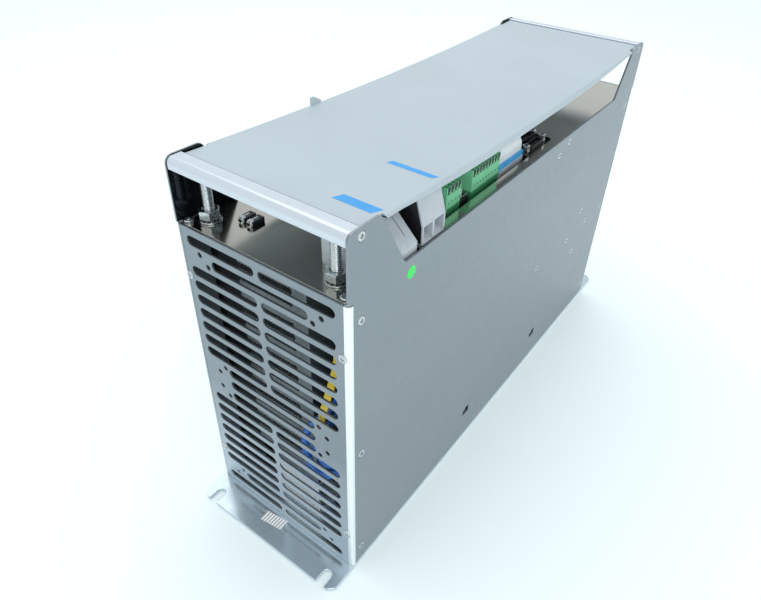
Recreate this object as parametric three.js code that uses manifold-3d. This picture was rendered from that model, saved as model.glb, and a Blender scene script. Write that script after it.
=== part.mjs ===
// Servo drive lying on its mounting plate. Units are millimetres.
// X is the width, Y runs along the height it has on a wall (near, lower end at low Y),
// Z points out of the drive's front, and the floor is z = 0.
// Lengths along Y below count from the near edge of the enclosure; each finished
// solid is shifted by Y_SHIFT so that the whole object is centred on the origin.

import * as THREE from 'three';
import { mergeVertices } from 'three/addons/utils/BufferGeometryUtils.js';
import Module from 'manifold-3d';

const wasm = await Module();
wasm.setup();

// ---- enclosure ----
const WIDTH = 114;                // outside the two side plates
const LENGTH = 362;               // enclosure, without the mounting flanges
const SHEET = 1.5;                // steel sheet thickness
const PLATE_T = 2;                // mounting plate thickness
const NEAR_FLANGE = 20;           // mounting plate sticking out at the near end
const FAR_FLANGE = 25.5;          // and at the far end
const Y_SHIFT = -(LENGTH + FAR_FLANGE - NEAR_FLANGE) / 2;
const HALF = WIDTH / 2;
const WALL_IN = HALF - SHEET;     // inner face of a side plate
const FIT = 0.3;                  // gap left between neighbouring pieces
const SIDE_BOTTOM = PLATE_T + 0.1;
const PANEL_TOP = 206.5;          // outer face of the front panel
const EAR_TOP = 243.3;            // top of the side plates' ears
const BAR_TOP = 242.9;            // top of the cover's end bars
const BAR_BOTTOM = 236.5;
const BAR_DEPTH = 9.7;

// ---- slots of the end plates ----
const SLOT_ROWS = 21;
const SLOT_PITCH = 9.48;
const SLOT_TOP_Z = 199;           // centre of the first row
const SLOT_H = 6;
const SLOT_X = -0.8;              // centre of the slot field
const SLOT_OUT = 49.6;            // outer end of a full row, from the field's centre
const SLOT_IN = 1.4;              // half the bridge in the middle
const SHORT_OUT = 32.8;           // half length of a row shortened beside the fan screws
const SHORT_ROWS = [2, 10, 11, 12, 20];
const SLOT_ARC = 4;               // flats that make up a slot's round end

// ---- fans ----
const FAN_Z = [57, 151.2];        // axes of the two fans
const FAN_SIZE = 92;
const FAN_DEPTH = 25;
const FAN_HOLES = [41.25, 35.75]; // half hole spacing of the two fan sizes that fit
const FAN_HOLE_R = 1.6;
const FAN_BORE = 43;

// ---- connector window in the front panel ----
const WINDOW = { x0: 23.5, x1: 48.9, y0: 18.8, y1: 225, corner: 1.8 };
const CONNECTOR_X0 = WINDOW.x0 + 0.6;
const ROW_FACE = 45.3;            // outer face of the signal connectors' row
const TERMINAL_FACE = 54.3;       // outer face of the power terminals, over the panel's edge
const BOARD_Z = 186;              // underside of the terminal board
const BOARD_T = 1.6;
const BASE_Z = BOARD_Z + BOARD_T + 0.1;

// ---- small helpers -------------------------------------------------------------

const parts = new THREE.Group();
parts.name = 'servo_drive';

// Turns a closed three.js geometry into a manifold solid.
function solid(geometry) {
  const bare = geometry.clone();
  bare.deleteAttribute('normal');
  bare.deleteAttribute('uv');
  const merged = mergeVertices(bare, 1e-4);
  const index = merged.index.array;
  return new wasm.Manifold(new wasm.Mesh({
    numProp: 3,
    vertProperties: new Float32Array(merged.attributes.position.array),
    triVerts: new Uint32Array(index),
  }));
}

// Adds a finished solid to the assembly under a name and a colour.
function add(name, body, color, metalness = 0.1, roughness = 0.6) {
  const shape = body.getMesh();
  const positions = new Float32Array(shape.numVert * 3);
  for (let i = 0; i < shape.numVert; i += 1) {
    positions[3 * i] = shape.vertProperties[shape.numProp * i];
    positions[3 * i + 1] = shape.vertProperties[shape.numProp * i + 1] + Y_SHIFT;
    positions[3 * i + 2] = shape.vertProperties[shape.numProp * i + 2];
  }
  const geometry = new THREE.BufferGeometry();
  geometry.setAttribute('position', new THREE.BufferAttribute(positions, 3));
  geometry.setIndex(new THREE.BufferAttribute(new Uint32Array(shape.triVerts), 1));
  geometry.computeVertexNormals();
  const material = new THREE.MeshStandardMaterial({ color, metalness, roughness });
  const mesh = new THREE.Mesh(geometry, material);
  mesh.name = name;
  parts.add(mesh);
}

function box(x0, x1, y0, y1, z0, z1) {
  const geometry = new THREE.BoxGeometry(x1 - x0, y1 - y0, z1 - z0);
  geometry.translate((x0 + x1) / 2, (y0 + y1) / 2, (z0 + z1) / 2);
  return solid(geometry);
}

function outline(points) {
  return new THREE.Shape(points.map(([u, v]) => new THREE.Vector2(u, v)));
}

// Extrudes a shape by depth, then maps its axes (u, v, depth) onto the given ones.
function extrude(shape, depth, u, v, w, start) {
  const geometry = new THREE.ExtrudeGeometry(shape, { depth, bevelEnabled: false, curveSegments: 6 });
  const basis = new THREE.Matrix4().makeBasis(u, v, w);
  basis.setPosition(w.clone().multiplyScalar(start));
  geometry.applyMatrix4(basis);
  return solid(geometry);
}

const X_AXIS = new THREE.Vector3(1, 0, 0);
const Y_AXIS = new THREE.Vector3(0, 1, 0);
const Z_AXIS = new THREE.Vector3(0, 0, 1);

// Shapes drawn in (y, z), (x, z) and (x, y), each extruded between two limits.
const alongX = (shape, x0, x1) => extrude(shape, x1 - x0, Y_AXIS, Z_AXIS, X_AXIS, x0);
const alongY = (shape, y0, y1) => extrude(shape, y1 - y0, X_AXIS, Z_AXIS, Y_AXIS.clone().negate(), -y1);
const alongZ = (shape, z0, z1) => extrude(shape, z1 - z0, X_AXIS, Y_AXIS, Z_AXIS, z0);

// A round rod or disc along one axis: centre (a, b) in the other two.
function rod(axis, a, b, from, to, radius, segments = 20) {
  const geometry = new THREE.CylinderGeometry(radius, radius, to - from, segments);
  const middle = (from + to) / 2;
  if (axis === 'x') {
    geometry.rotateZ(-Math.PI / 2);
    geometry.translate(middle, a, b);
  } else if (axis === 'y') {
    geometry.translate(a, middle, b);
  } else {
    geometry.rotateX(Math.PI / 2);
    geometry.translate(a, b, middle);
  }
  return solid(geometry);
}

// A slot with round ends as a shape: centre (u, v), half length and half height.
function slotShape(u, v, halfLength, halfHeight) {
  const points = [];
  for (const side of [1, -1]) {
    for (let i = 0; i <= SLOT_ARC; i += 1) {
      const angle = -Math.PI / 2 + Math.PI * i / SLOT_ARC;
      const du = side * (halfLength - halfHeight + halfHeight * Math.cos(angle));
      points.push([u + du, v + side * halfHeight * Math.sin(angle)]);
    }
  }
  return outline(points);
}

function union(list) {
  return list.reduce((sum, item) => sum.add(item));
}

function cut(body, list) {
  return list.reduce((rest, item) => rest.subtract(item), body);
}

// ---- enclosure pieces ------------------------------------------------------------

function addBackPlate() {
  const near = -NEAR_FLANGE;
  const far = LENGTH + FAR_FLANGE;
  const corner = 4;
  const shape = outline([
    [-HALF + corner, near], [HALF - corner, near], [HALF, near + corner],
    [HALF, far - corner], [HALF - corner, far], [-HALF + corner, far],
    [-HALF, far - corner], [-HALF, near + corner],
  ]);
  const slotX = 47.3;
  const slotR = 3.2;
  const cuts = [];
  for (const side of [-1, 1]) {
    cuts.push(rod('z', side * slotX, near + 7, -1, 3, slotR));
    cuts.push(box(side * slotX - slotR, side * slotX + slotR, near - 1, near + 7, -1, 3));
    cuts.push(rod('z', side * slotX, far - 9, -1, 3, slotR));
    cuts.push(rod('z', side * slotX, far - 15, -1, 3, 5.5, 24));
    cuts.push(box(side * slotX - slotR, side * slotX + slotR, far - 15, far - 9, -1, 3));
  }
  add('back_plate', cut(alongZ(shape, 0, PLATE_T), cuts), 0xc4cdd0, 0.8, 0.3);
}

// Outline of a side plate in (y, z), from the near bottom corner round.
function sidePlateShape() {
  const nearEdge = 3.3;
  const notchZ = PANEL_TOP + 0.6;
  const rest = 208;               // upper edge between the two ears
  return outline([
    [nearEdge, SIDE_BOTTOM], [LENGTH - nearEdge, SIDE_BOTTOM],
    [LENGTH - nearEdge, notchZ], [LENGTH, notchZ],
    [LENGTH, EAR_TOP - 4.5], [LENGTH - 1.4, EAR_TOP - 1.4], [LENGTH - 4.5, EAR_TOP],
    [LENGTH - 20, EAR_TOP], [LENGTH - 22.6, EAR_TOP - 1.2], [LENGTH - 24, EAR_TOP - 3.6],
    [LENGTH - 41.4, rest + 1], [LENGTH - 43, rest],
    [43, rest], [41.4, rest + 1],
    [24, EAR_TOP - 3.6], [22.6, EAR_TOP - 1.2], [20, EAR_TOP],
    [4.5, EAR_TOP], [1.4, EAR_TOP - 1.4], [0, EAR_TOP - 4.5],
    [0, notchZ], [nearEdge, notchZ],
  ]);
}

const EDGE_SCREW_Y = 9;           // screws stand this far from each end
const EDGE_SCREW_Z = [238.8, 194.1, 101.9, 14.2];
const SCREW_HEAD_R = 2.4;

function addSidePlate(name, side) {
  const x0 = side > 0 ? WALL_IN : -HALF;
  const cuts = [];
  for (const y of [EDGE_SCREW_Y, LENGTH - EDGE_SCREW_Y]) {
    for (const z of EDGE_SCREW_Z) {
      cuts.push(rod('x', y, z, x0 - 1, x0 + SHEET + 1, SCREW_HEAD_R + 0.15, 12));
    }
  }
  for (const y of [131, 240]) {
    cuts.push(box(x0 - 1, x0 + SHEET + 1, y - 4, y + 4, 24.8, 31.4));
  }
  add(name, cut(alongX(sidePlateShape(), x0, x0 + SHEET), cuts), 0x9aa6ad, 0.7, 0.45);
}

// Countersunk screws of the right side plate's near edge.
function addEdgeScrews() {
  EDGE_SCREW_Z.forEach((z, i) => {
    const head = rod('x', EDGE_SCREW_Y, z, WALL_IN + 0.2, HALF - 0.1, SCREW_HEAD_R, 12);
    const shank = rod('x', EDGE_SCREW_Y, z, WALL_IN - 5, WALL_IN + 0.6, 1.2, 12);
    const socket = rod('x', EDGE_SCREW_Y, z, HALF - 0.8, HALF + 1, 1.1, 6);
    add(`edge_screw_${i + 1}`, cut(union([head, shank]), [socket]), 0xcfd4d6, 0.9, 0.3);
  });
}

// The slots of one end plate, as solids to cut away.
function slotCuts(y0, y1) {
  const cuts = [];
  for (let row = 1; row <= SLOT_ROWS; row += 1) {
    const z = SLOT_TOP_Z - (row - 1) * SLOT_PITCH;
    if (SHORT_ROWS.includes(row)) {
      cuts.push(alongY(slotShape(SLOT_X, z, SHORT_OUT, SLOT_H / 2), y0, y1));
    } else {
      const half = (SLOT_OUT - SLOT_IN) / 2;
      for (const side of [-1, 1]) {
        const centre = SLOT_X + side * (SLOT_IN + half);
        cuts.push(alongY(slotShape(centre, z, half, SLOT_H / 2), y0, y1));
      }
    }
  }
  return cuts;
}

// The small screw holes of the fan patterns, for both fan sizes.
function fanHoleCuts(y0, y1) {
  const cuts = [];
  for (const zc of FAN_Z) {
    for (const half of FAN_HOLES) {
      for (const sx of [-1, 1]) {
        for (const sz of [-1, 1]) {
          cuts.push(rod('y', SLOT_X + sx * half, zc + sz * half, y0, y1, FAN_HOLE_R, 6));
        }
      }
    }
  }
  return cuts;
}

// An end plate: slotted face, corner returns flush with the side plates, and
// inner flanges that the side plates are screwed to. It is built for the near end.
function endPlateBody() {
  const top = PANEL_TOP;
  const bottom = SIDE_BOTTOM;
  const corner = 2.2;
  const returnDepth = 3;
  const flange = 16;
  const flangeX = WALL_IN - 0.1;
  const shape = outline([
    [-HALF + corner, 0], [HALF - corner, 0], [HALF - 0.6, 0.6], [HALF, corner], [HALF, returnDepth],
    [flangeX, returnDepth], [flangeX, flange], [flangeX - SHEET, flange], [flangeX - SHEET, SHEET],
    [-flangeX + SHEET, SHEET], [-flangeX + SHEET, flange], [-flangeX, flange],
    [-flangeX, returnDepth], [-HALF, returnDepth], [-HALF, corner], [-HALF + 0.6, 0.6],
  ]);
  const cuts = [...slotCuts(-1, SHEET + 1), ...fanHoleCuts(-1, SHEET + 1)];
  for (const side of [-1, 1]) {
    for (const z of EDGE_SCREW_Z.slice(1)) {
      const x = side * flangeX;
      cuts.push(rod('x', EDGE_SCREW_Y, z, Math.min(x, x - side * 3), Math.max(x, x - side * 3), 1.5, 12));
    }
  }
  return cut(alongZ(shape, bottom, top), cuts);
}

function addEndPlates() {
  add('near_end_plate', endPlateBody(), 0x939da1, 0.7, 0.45);
  const far = endPlateBody().rotate([0, 0, 180]).translate([0, LENGTH, 0]);
  add('far_end_plate', far, 0x939da1, 0.7, 0.45);
}

const STUD_AT = [[-45.5, 12.8], [39.8, 12.6]];
const STUD_R = 2.9;
const PANEL_SCREWS = [[-52.2, 4.4], [51.4, 4.4]];

function addFrontPanel() {
  const z0 = PANEL_TOP - SHEET;
  const xEnd = WALL_IN - 1.9;     // between the end plates' flanges
  const x = WALL_IN - 0.2;        // full width between the side plates
  const near = SHEET + FIT;
  const far = LENGTH - near;
  const run = 16.4;
  const shape = outline([
    [-xEnd, near], [xEnd, near], [xEnd, run], [x, run], [x, LENGTH - run], [xEnd, LENGTH - run],
    [xEnd, far], [-xEnd, far], [-xEnd, LENGTH - run], [-x, LENGTH - run], [-x, run], [-xEnd, run],
  ]);
  const { x0, x1, y0, y1, corner } = WINDOW;
  const window = outline([
    [x0 + corner, y0], [x1 - corner, y0], [x1, y0 + corner], [x1, y1 - corner],
    [x1 - corner, y1], [x0 + corner, y1], [x0, y1 - corner], [x0, y0 + corner],
  ]);
  const cuts = STUD_AT.map(([sx, sy]) => rod('z', sx, sy, z0 - 1, PANEL_TOP + 1, STUD_R + 0.2));
  for (const [sx, sy] of PANEL_SCREWS) {
    cuts.push(rod('z', sx, sy, z0 - 1, PANEL_TOP + 1, 1.6, 12));
  }
  cuts.push(alongZ(window, z0 - 1, PANEL_TOP + 1));
  add('front_panel', cut(alongZ(shape, z0, PANEL_TOP), cuts), 0xb9b8ae, 1.0, 0.08);
}

function addPanelScrews() {
  PANEL_SCREWS.forEach(([sx, sy], i) => {
    const head = rod('z', sx, sy, PANEL_TOP + 0.05, PANEL_TOP + 1.9, 2.5, 16);
    const shank = rod('z', sx, sy, PANEL_TOP - 5, PANEL_TOP + 0.5, 1.3, 12);
    const socket = rod('z', sx, sy, PANEL_TOP + 0.9, PANEL_TOP + 3, 1.2, 6);
    add(`panel_screw_${i + 1}`, cut(union([head, shank]), [socket]), 0xc8cccd, 0.9, 0.3);
  });
}

// ---- cover -----------------------------------------------------------------------

const COVER_T = 1.2;
const COVER_END_Z = 241.9;        // top of the sheet where it meets a bar
const COVER_SAG = 3.9;            // the sheet hangs this much lower in the middle
const LIP_BOTTOM = 234.2;         // lower edge of the side lips, in the middle
const LIP_RISE = 6;               // how much that edge rises towards the ends
const NECK_Y = 26;                // the sheet is narrower up to here, between the ears
const NECK_X = 54.4;

// Position along the sheet as -1..1 from end to end.
function coverPhase(y) {
  return (y - LENGTH / 2) / (LENGTH / 2 - BAR_DEPTH);
}

function coverTop(y) {
  return COVER_END_Z - COVER_SAG * (1 - coverPhase(y) ** 2);
}

function lipBottom(y) {
  const run = Math.max(0, Math.abs(y - LENGTH / 2) - 40) / (LENGTH / 2 - 40 - NECK_Y);
  return LIP_BOTTOM + LIP_RISE * run ** 2;
}

function coverStations(y0, y1, steps) {
  return Array.from({ length: steps + 1 }, (_, i) => y0 + (y1 - y0) * i / steps);
}

// Band in (y, z) between two curves.
function bandShape(stations, upper, lower) {
  const back = [...stations].reverse();
  return outline([...stations.map((y) => [y, lower(y)]), ...back.map((y) => [y, upper(y)])]);
}

function addCoverSheet() {
  const under = (y) => coverTop(y) - COVER_T;
  const inner = coverStations(NECK_Y, LENGTH - NECK_Y, 20);
  const neck = [BAR_DEPTH + FIT, 18, ...inner, LENGTH - 18, LENGTH - BAR_DEPTH - FIT];
  const wide = inner;
  const sheet = alongX(bandShape(neck, coverTop, under), -NECK_X, NECK_X);
  const bodies = [sheet];
  for (const side of [-1, 1]) {
    const outer = side * HALF;
    const edge = alongX(bandShape(wide, coverTop, under),
      Math.min(outer, side * (NECK_X - 1)), Math.max(outer, side * (NECK_X - 1)));
    const lip = alongX(bandShape(wide, (y) => coverTop(y) - 0.4, lipBottom),
      Math.min(outer, outer - side * COVER_T), Math.max(outer, outer - side * COVER_T));
    bodies.push(edge, lip);
  }
  add('cover_sheet', union(bodies), 0xc3d2da, 0.0, 0.5);
}

// End bar of the cover: round nose, flat top, and a ledge that carries the sheet.
function coverBarBody() {
  const y0 = 0.4;
  const z1 = BAR_TOP;
  const nose = 3.6;
  const points = [[y0, BAR_BOTTOM]];
  for (let i = 0; i <= 5; i += 1) {
    const angle = Math.PI - (Math.PI / 2) * i / 5;
    points.push([y0 + nose + nose * Math.cos(angle), z1 - nose + nose * Math.sin(angle)]);
  }
  points.push([BAR_DEPTH, z1 - 0.3], [BAR_DEPTH, 240], [15.5, 240], [15.5, 238.2], [BAR_DEPTH, 238.2]);
  points.push([BAR_DEPTH, BAR_BOTTOM]);
  const x = WALL_IN - 0.2;
  return alongX(outline(points), -x, x);
}

function addCoverBars() {
  const x = WALL_IN;
  const holes = [-1, 1].map((side) => rod('x', EDGE_SCREW_Y, EDGE_SCREW_Z[0],
    Math.min(side * (x - 8), side * (x + 1)), Math.max(side * (x - 8), side * (x + 1)), 1.5, 12));
  const near = cut(coverBarBody(), holes);
  add('cover_bar_near', near, 0xdfe6ea, 0.1, 0.45);
  add('cover_bar_far', near.rotate([0, 0, 180]).translate([0, LENGTH, 0]), 0xdfe6ea, 0.1, 0.45);
}

// ---- pieces on the front panel ------------------------------------------------------

function hexNut(x, y, z0, z1, acrossFlats, hole) {
  const radius = acrossFlats / Math.sqrt(3);
  return cut(rod('z', x, y, z0, z1, radius, 6), [rod('z', x, y, z0 - 1, z1 + 1, hole)]);
}

function addStud(tag, x, y) {
  const washerTop = PANEL_TOP + 0.1 + 1.6;
  const nutTop = washerTop + 0.1 + 5;
  const stud = rod('z', x, y, PANEL_TOP - 8, PANEL_TOP + 26, STUD_R);
  const washer = cut(rod('z', x, y, PANEL_TOP + 0.1, washerTop, 6, 24),
    [rod('z', x, y, PANEL_TOP - 1, washerTop + 1, STUD_R + 0.2)]);
  const nut = hexNut(x, y, washerTop + 0.1, nutTop, 10, STUD_R + 0.1);
  add(`earth_stud_${tag}`, stud, 0xb8bcbc, 0.9, 0.3);
  add(`stud_washer_${tag}`, washer, 0xc9cdcd, 0.9, 0.25);
  add(`stud_nut_${tag}`, nut, 0xc9cdcd, 0.9, 0.25);
}

const CONTACT_X = [-30.9, -24.9];
const CONTACT_Y = [21, 29];

function addContacts() {
  const z0 = PANEL_TOP + 0.1;
  const mid = z0 + 1.7;
  const bodies = CONTACT_X.map((x) => box(x - 2.2, x + 2.2, CONTACT_Y[0], CONTACT_Y[1], z0, z0 + 2.6));
  bodies.push(box(CONTACT_X[0], CONTACT_X[1], CONTACT_Y[0] + 2.5, CONTACT_Y[1] - 1, z0, z0 + 2));
  const cuts = CONTACT_X.map((x) => rod('y', x, mid, CONTACT_Y[0] - 1, CONTACT_Y[0] + 6, 1.55, 14));
  add('contact_holder', cut(union(bodies), cuts), 0x17181a, 0.0, 0.4);
  CONTACT_X.forEach((x, i) => {
    add(`contact_pin_${i + 1}`, rod('y', x, mid, CONTACT_Y[0] - 1.4, CONTACT_Y[0] + 5.5, 1.4, 14),
      0xd9dcdc, 0.9, 0.2);
  });
}

// Outline in (x, z) of a power terminal: a foot in the panel's window, and a wider head
// that overhangs the panel and whose outer face leans back above a given height.
function terminalShape(kinkZ, topX, topZ) {
  const footX = WINDOW.x1 - 0.7;
  const restZ = PANEL_TOP + 0.2;
  return outline([
    [CONNECTOR_X0, BASE_Z], [footX, BASE_Z], [footX, restZ], [TERMINAL_FACE, restZ],
    [TERMINAL_FACE, kinkZ], [topX, topZ], [CONNECTOR_X0, topZ],
  ]);
}

// Large terminal: two poles, each with a screw well in the top, and a shallow groove near the far
// edge of its sloping face.
const LARGE_TERMINAL = { y0: 20.1, y1: 55.4, kinkZ: 212.2, topX: 36.5, topZ: 230 };
const SCREW_WELL = { x: 30.4, radius: 3.4, floorZ: 214 };
const GROOVE = { x0: 40, z0: 216, z1: 224, fromFarFace: 5, width: 0.6 };

function addPowerTerminalLarge() {
  const { y0, y1, kinkZ, topX, topZ } = LARGE_TERMINAL;
  const body = alongY(terminalShape(kinkZ, topX, topZ), y0, y1);
  const pole = (y1 - y0) / 2;
  const grooveY1 = y1 - GROOVE.fromFarFace;
  const cuts = [box(GROOVE.x0, TERMINAL_FACE, grooveY1 - GROOVE.width, grooveY1, GROOVE.z0, GROOVE.z1)];
  for (const y of [y0 + pole / 2, y1 - pole / 2]) {
    cuts.push(rod('z', SCREW_WELL.x, y, SCREW_WELL.floorZ, topZ + 1, SCREW_WELL.radius, 16));
  }
  add('power_terminal_large', cut(body, cuts), 0xc2c8cb, 0.0, 0.5);
}

// Small terminal: two wire entries in its outer face, each with a floor that slopes down outwards.
const SMALL_TERMINAL = { y0: 59.8, y1: 80.2, kinkZ: 217.2, topX: 50.2, topZ: 231 };
const SMALL_ENTRIES = [[60.8, 68.6], [70.3, 79]];
const ENTRY_SILL_Z = 207.4;       // floor of an entry at the outer face
const ENTRY_BACK = { x: 41, z: 214 };

function addPowerTerminalSmall() {
  const { y0, y1, kinkZ, topX, topZ } = SMALL_TERMINAL;
  const body = alongY(terminalShape(kinkZ, topX, topZ), y0, y1);
  const past = TERMINAL_FACE + 1;
  const entry = outline([[past, ENTRY_SILL_Z], [past, kinkZ], [ENTRY_BACK.x, kinkZ],
    [ENTRY_BACK.x, ENTRY_BACK.z], [TERMINAL_FACE, ENTRY_SILL_Z]]);
  const cuts = SMALL_ENTRIES.map(([from, to]) => alongY(entry, from, to));
  add('power_terminal_small', cut(body, cuts), 0xc6ccd0, 0.0, 0.5);
}

// A green pluggable terminal: header with a shroud, and the plug that slides out of it.
const GREEN_PITCH = 3.5;
const GREEN_SPLIT = 207.2;        // plug and header meet here
const GREEN_TOP = 220.5;

function addGreenPair(poles, y0) {
  const length = poles * GREEN_PITCH + 0.8;
  const y1 = y0 + length;
  const x0 = ROW_FACE - 12;
  const wall = 1.3;
  const plugIn = 7;
  const shroud = box(x0, ROW_FACE, y0, y1, BASE_Z, GREEN_SPLIT - 0.3);
  const well = box(x0 + wall, ROW_FACE - wall, y0 + wall, y1 - wall, GREEN_SPLIT - 8.5, GREEN_SPLIT + 1);
  const pins = [];
  for (let i = 0; i < poles; i += 1) {
    const y = y0 + 0.4 + GREEN_PITCH * (i + 0.5);
    pins.push(box(x0 + 5.5, x0 + 6.5, y - 0.5, y + 0.5, GREEN_SPLIT - 9, GREEN_SPLIT - 2.5));
  }
  add(`green_header_${poles}`, union([cut(shroud, [well]), ...pins]), 0x3d8a5b, 0.0, 0.5);

  const gap = 0.35;
  const head = box(x0 + 0.3, ROW_FACE, y0, y1, GREEN_SPLIT, GREEN_TOP);
  const tongue = box(x0 + wall + gap, ROW_FACE - wall - gap, y0 + wall + gap, y1 - wall - gap,
    GREEN_SPLIT - plugIn, GREEN_SPLIT + 0.5);
  const cuts = [];
  for (let i = 0; i < poles; i += 1) {
    const y = y0 + 0.4 + GREEN_PITCH * (i + 0.5);
    cuts.push(box(ROW_FACE - 4.6, ROW_FACE - 1, y - 1.15, y + 1.15, GREEN_TOP - 7, GREEN_TOP + 1));
    cuts.push(box(x0 + 4.9, x0 + 7.1, y - 1, y + 1, GREEN_SPLIT - plugIn - 1, GREEN_SPLIT - 0.5));
  }
  add(`green_plug_${poles}`, cut(union([head, tongue]), cuts), 0x74cf97, 0.0, 0.45);
}

function addIndicator() {
  const body = box(ROW_FACE - 12, ROW_FACE - 1, 111.8, 121.8, BASE_Z, 205);
  const ribs = [];
  for (let i = 0; i < 4; i += 1) {
    const y = 112.8 + 2.3 * i;
    ribs.push(box(ROW_FACE - 3, ROW_FACE, y, y + 1.2, 193, 206));
  }
  add('indicator_block', cut(body, ribs), 0x1b1f1e, 0.0, 0.5);
  add('indicator_light', rod('z', ROW_FACE - 5, 118.4, 205.1, 209.5, 1.3, 14), 0xf2f5f2, 0.0, 0.3);
}

// Ribbon cable that rises from the front socket, folds over and dips into the rear header.
const RIBBON = { y0: 157, y1: 187.6 };

function addRibbon() {
  const { y0, y1 } = RIBBON;
  const front = ROW_FACE - 4.2;
  const rear = 28.5;
  const top = 203.5;
  add('ribbon_header_front', box(front - 3.6, front + 3.8, y0 - 1, y1 + 1, BASE_Z, top), 0x9097a0, 0.0, 0.5);
  const slot = (x) => box(x - 0.75, x + 0.75, y0 - 0.3, y1 + 0.3, top + 2.4, 215);
  const socket = box(front - 3.2, front + 3.6, y0 - 0.6, y1 + 0.6, top + 0.2, 210.4);
  const rearHeader = box(rear - 3.4, rear + 3.4, y0 - 1, y1 + 1, BASE_Z, 210.4);
  add('ribbon_header_rear', cut(rearHeader, [slot(rear)]), 0x33363a, 0.0, 0.5);
  add('ribbon_socket', cut(socket, [slot(front + 2)]), 0x5db4ea, 0.0, 0.4);
  const xa = rear;
  const xb = front + 2;
  const radius = (xb - xa) / 2;
  const half = 0.5;
  const centre = (xa + xb) / 2;
  const ring = (r) => Array.from({ length: 11 }, (_, i) => {
    const angle = Math.PI * i / 10;
    return [centre + r * Math.cos(angle), 213.4 + r * Math.sin(angle)];
  });
  const outer = ring(radius + half);
  const inner = ring(radius - half).reverse();
  const low = top + 2.7;
  const shape = outline([
    [xb + half, low], ...outer, [xa - half, low],
    [xa + half, low], ...inner, [xb - half, low],
  ]);
  add('ribbon_cable', alongY(shape, y0, y1), 0xe9ecf0, 0.0, 0.55);
}

// A bus socket: a body with a raised shell between its two jackscrews.
// half: half the width across X; end: distance from the socket's own ends; z0, z1: height.
const BUS_BODY = { half: 3.6, end: 0, z0: BASE_Z, z1: 206 };
const BUS_SHELL = { half: 2.7, end: 5.8, z0: 205.5, z1: 210.5 };
const BUS_MOUTH = { half: 1.8, end: 6.8, z0: 203, z1: 212 };
const BUS_TONGUE = { half: 0.6, end: 8, z0: 202.5, z1: 209.5 };

function addBusSocket(tag, xc, y0, y1) {
  const block = ({ half, end, z0, z1 }) => box(xc - half, xc + half, y0 + end, y1 - end, z0, z1);
  const [body, shell, mouth, tongue] = [BUS_BODY, BUS_SHELL, BUS_MOUTH, BUS_TONGUE].map(block);
  add(`bus_socket_${tag}`, union([cut(union([body, shell]), [mouth]), tongue]), 0x101113, 0.0, 0.35);
}

// ---- inside ------------------------------------------------------------------------

const SINK = { x0: -32, root: 7.3, x1: 17.2, y0: 15, y1: 330, z0: 34, z1: 203 };
const FIN_PITCH = 7.69;
const FIN_GAP = 5;
const FIN_FIRST = 182.9;          // centre of one of the gaps between fins

// Extruded heat sink: an upright base with horizontal fins and round-ended gaps.
function addHeatsink() {
  const gaps = [];
  for (let k = -2; k <= 17; k += 1) {
    gaps.push(FIN_FIRST - FIN_PITCH * k);
  }
  const points = [[SINK.x1, SINK.z0], [SINK.x1, SINK.z1], [SINK.x0, SINK.z1]];
  const r = FIN_GAP / 2;
  for (const z of gaps) {
    points.push([SINK.x0, z + r], [SINK.root - r, z + r], [SINK.root - 0.7, z + 1.7], [SINK.root, z],
      [SINK.root - 0.7, z - 1.7], [SINK.root - r, z - r], [SINK.x0, z - r]);
  }
  points.push([SINK.x0, 41 - 0.6], [-16, 41 - 0.6], [-16, SINK.z0]);
  add('heat_sink', alongY(outline(points), SINK.y0, SINK.y1), 0x9da6aa, 0.8, 0.4);
}

function addBracketAndBaffle() {
  const top = SINK.z0 - 0.1;
  const sheet = 1.5;
  const foot = outline([[15, SIDE_BOTTOM], [40, SIDE_BOTTOM], [40, SIDE_BOTTOM + sheet],
    [15 + sheet, SIDE_BOTTOM + sheet], [15 + sheet, top - sheet], [40, top - sheet], [40, top], [15, top]]);
  add('sink_bracket_near', alongX(foot, -16, SINK.x1), 0xc9cfd0, 0.6, 0.45);
  const farFoot = outline([[330, SIDE_BOTTOM], [330, top], [305, top], [305, top - sheet],
    [330 - sheet, top - sheet], [330 - sheet, SIDE_BOTTOM + sheet], [305, SIDE_BOTTOM + sheet],
    [305, SIDE_BOTTOM]]);
  add('sink_bracket_far', alongX(farFoot, -16, SINK.x1), 0xc9cfd0, 0.6, 0.45);
  const baffle = outline([[-WALL_IN + 0.1, 17.8], [-WALL_IN + 0.1, 329], [-WALL_IN + 1.3, 329],
    [-WALL_IN + 1.3, 19], [SINK.x0 - 0.3, 19], [SINK.x0 - 0.3, 17.8]]);
  add('air_baffle', alongZ(baffle, 3, 203), 0x2a2d2f, 0.0, 0.6);
}

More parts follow.
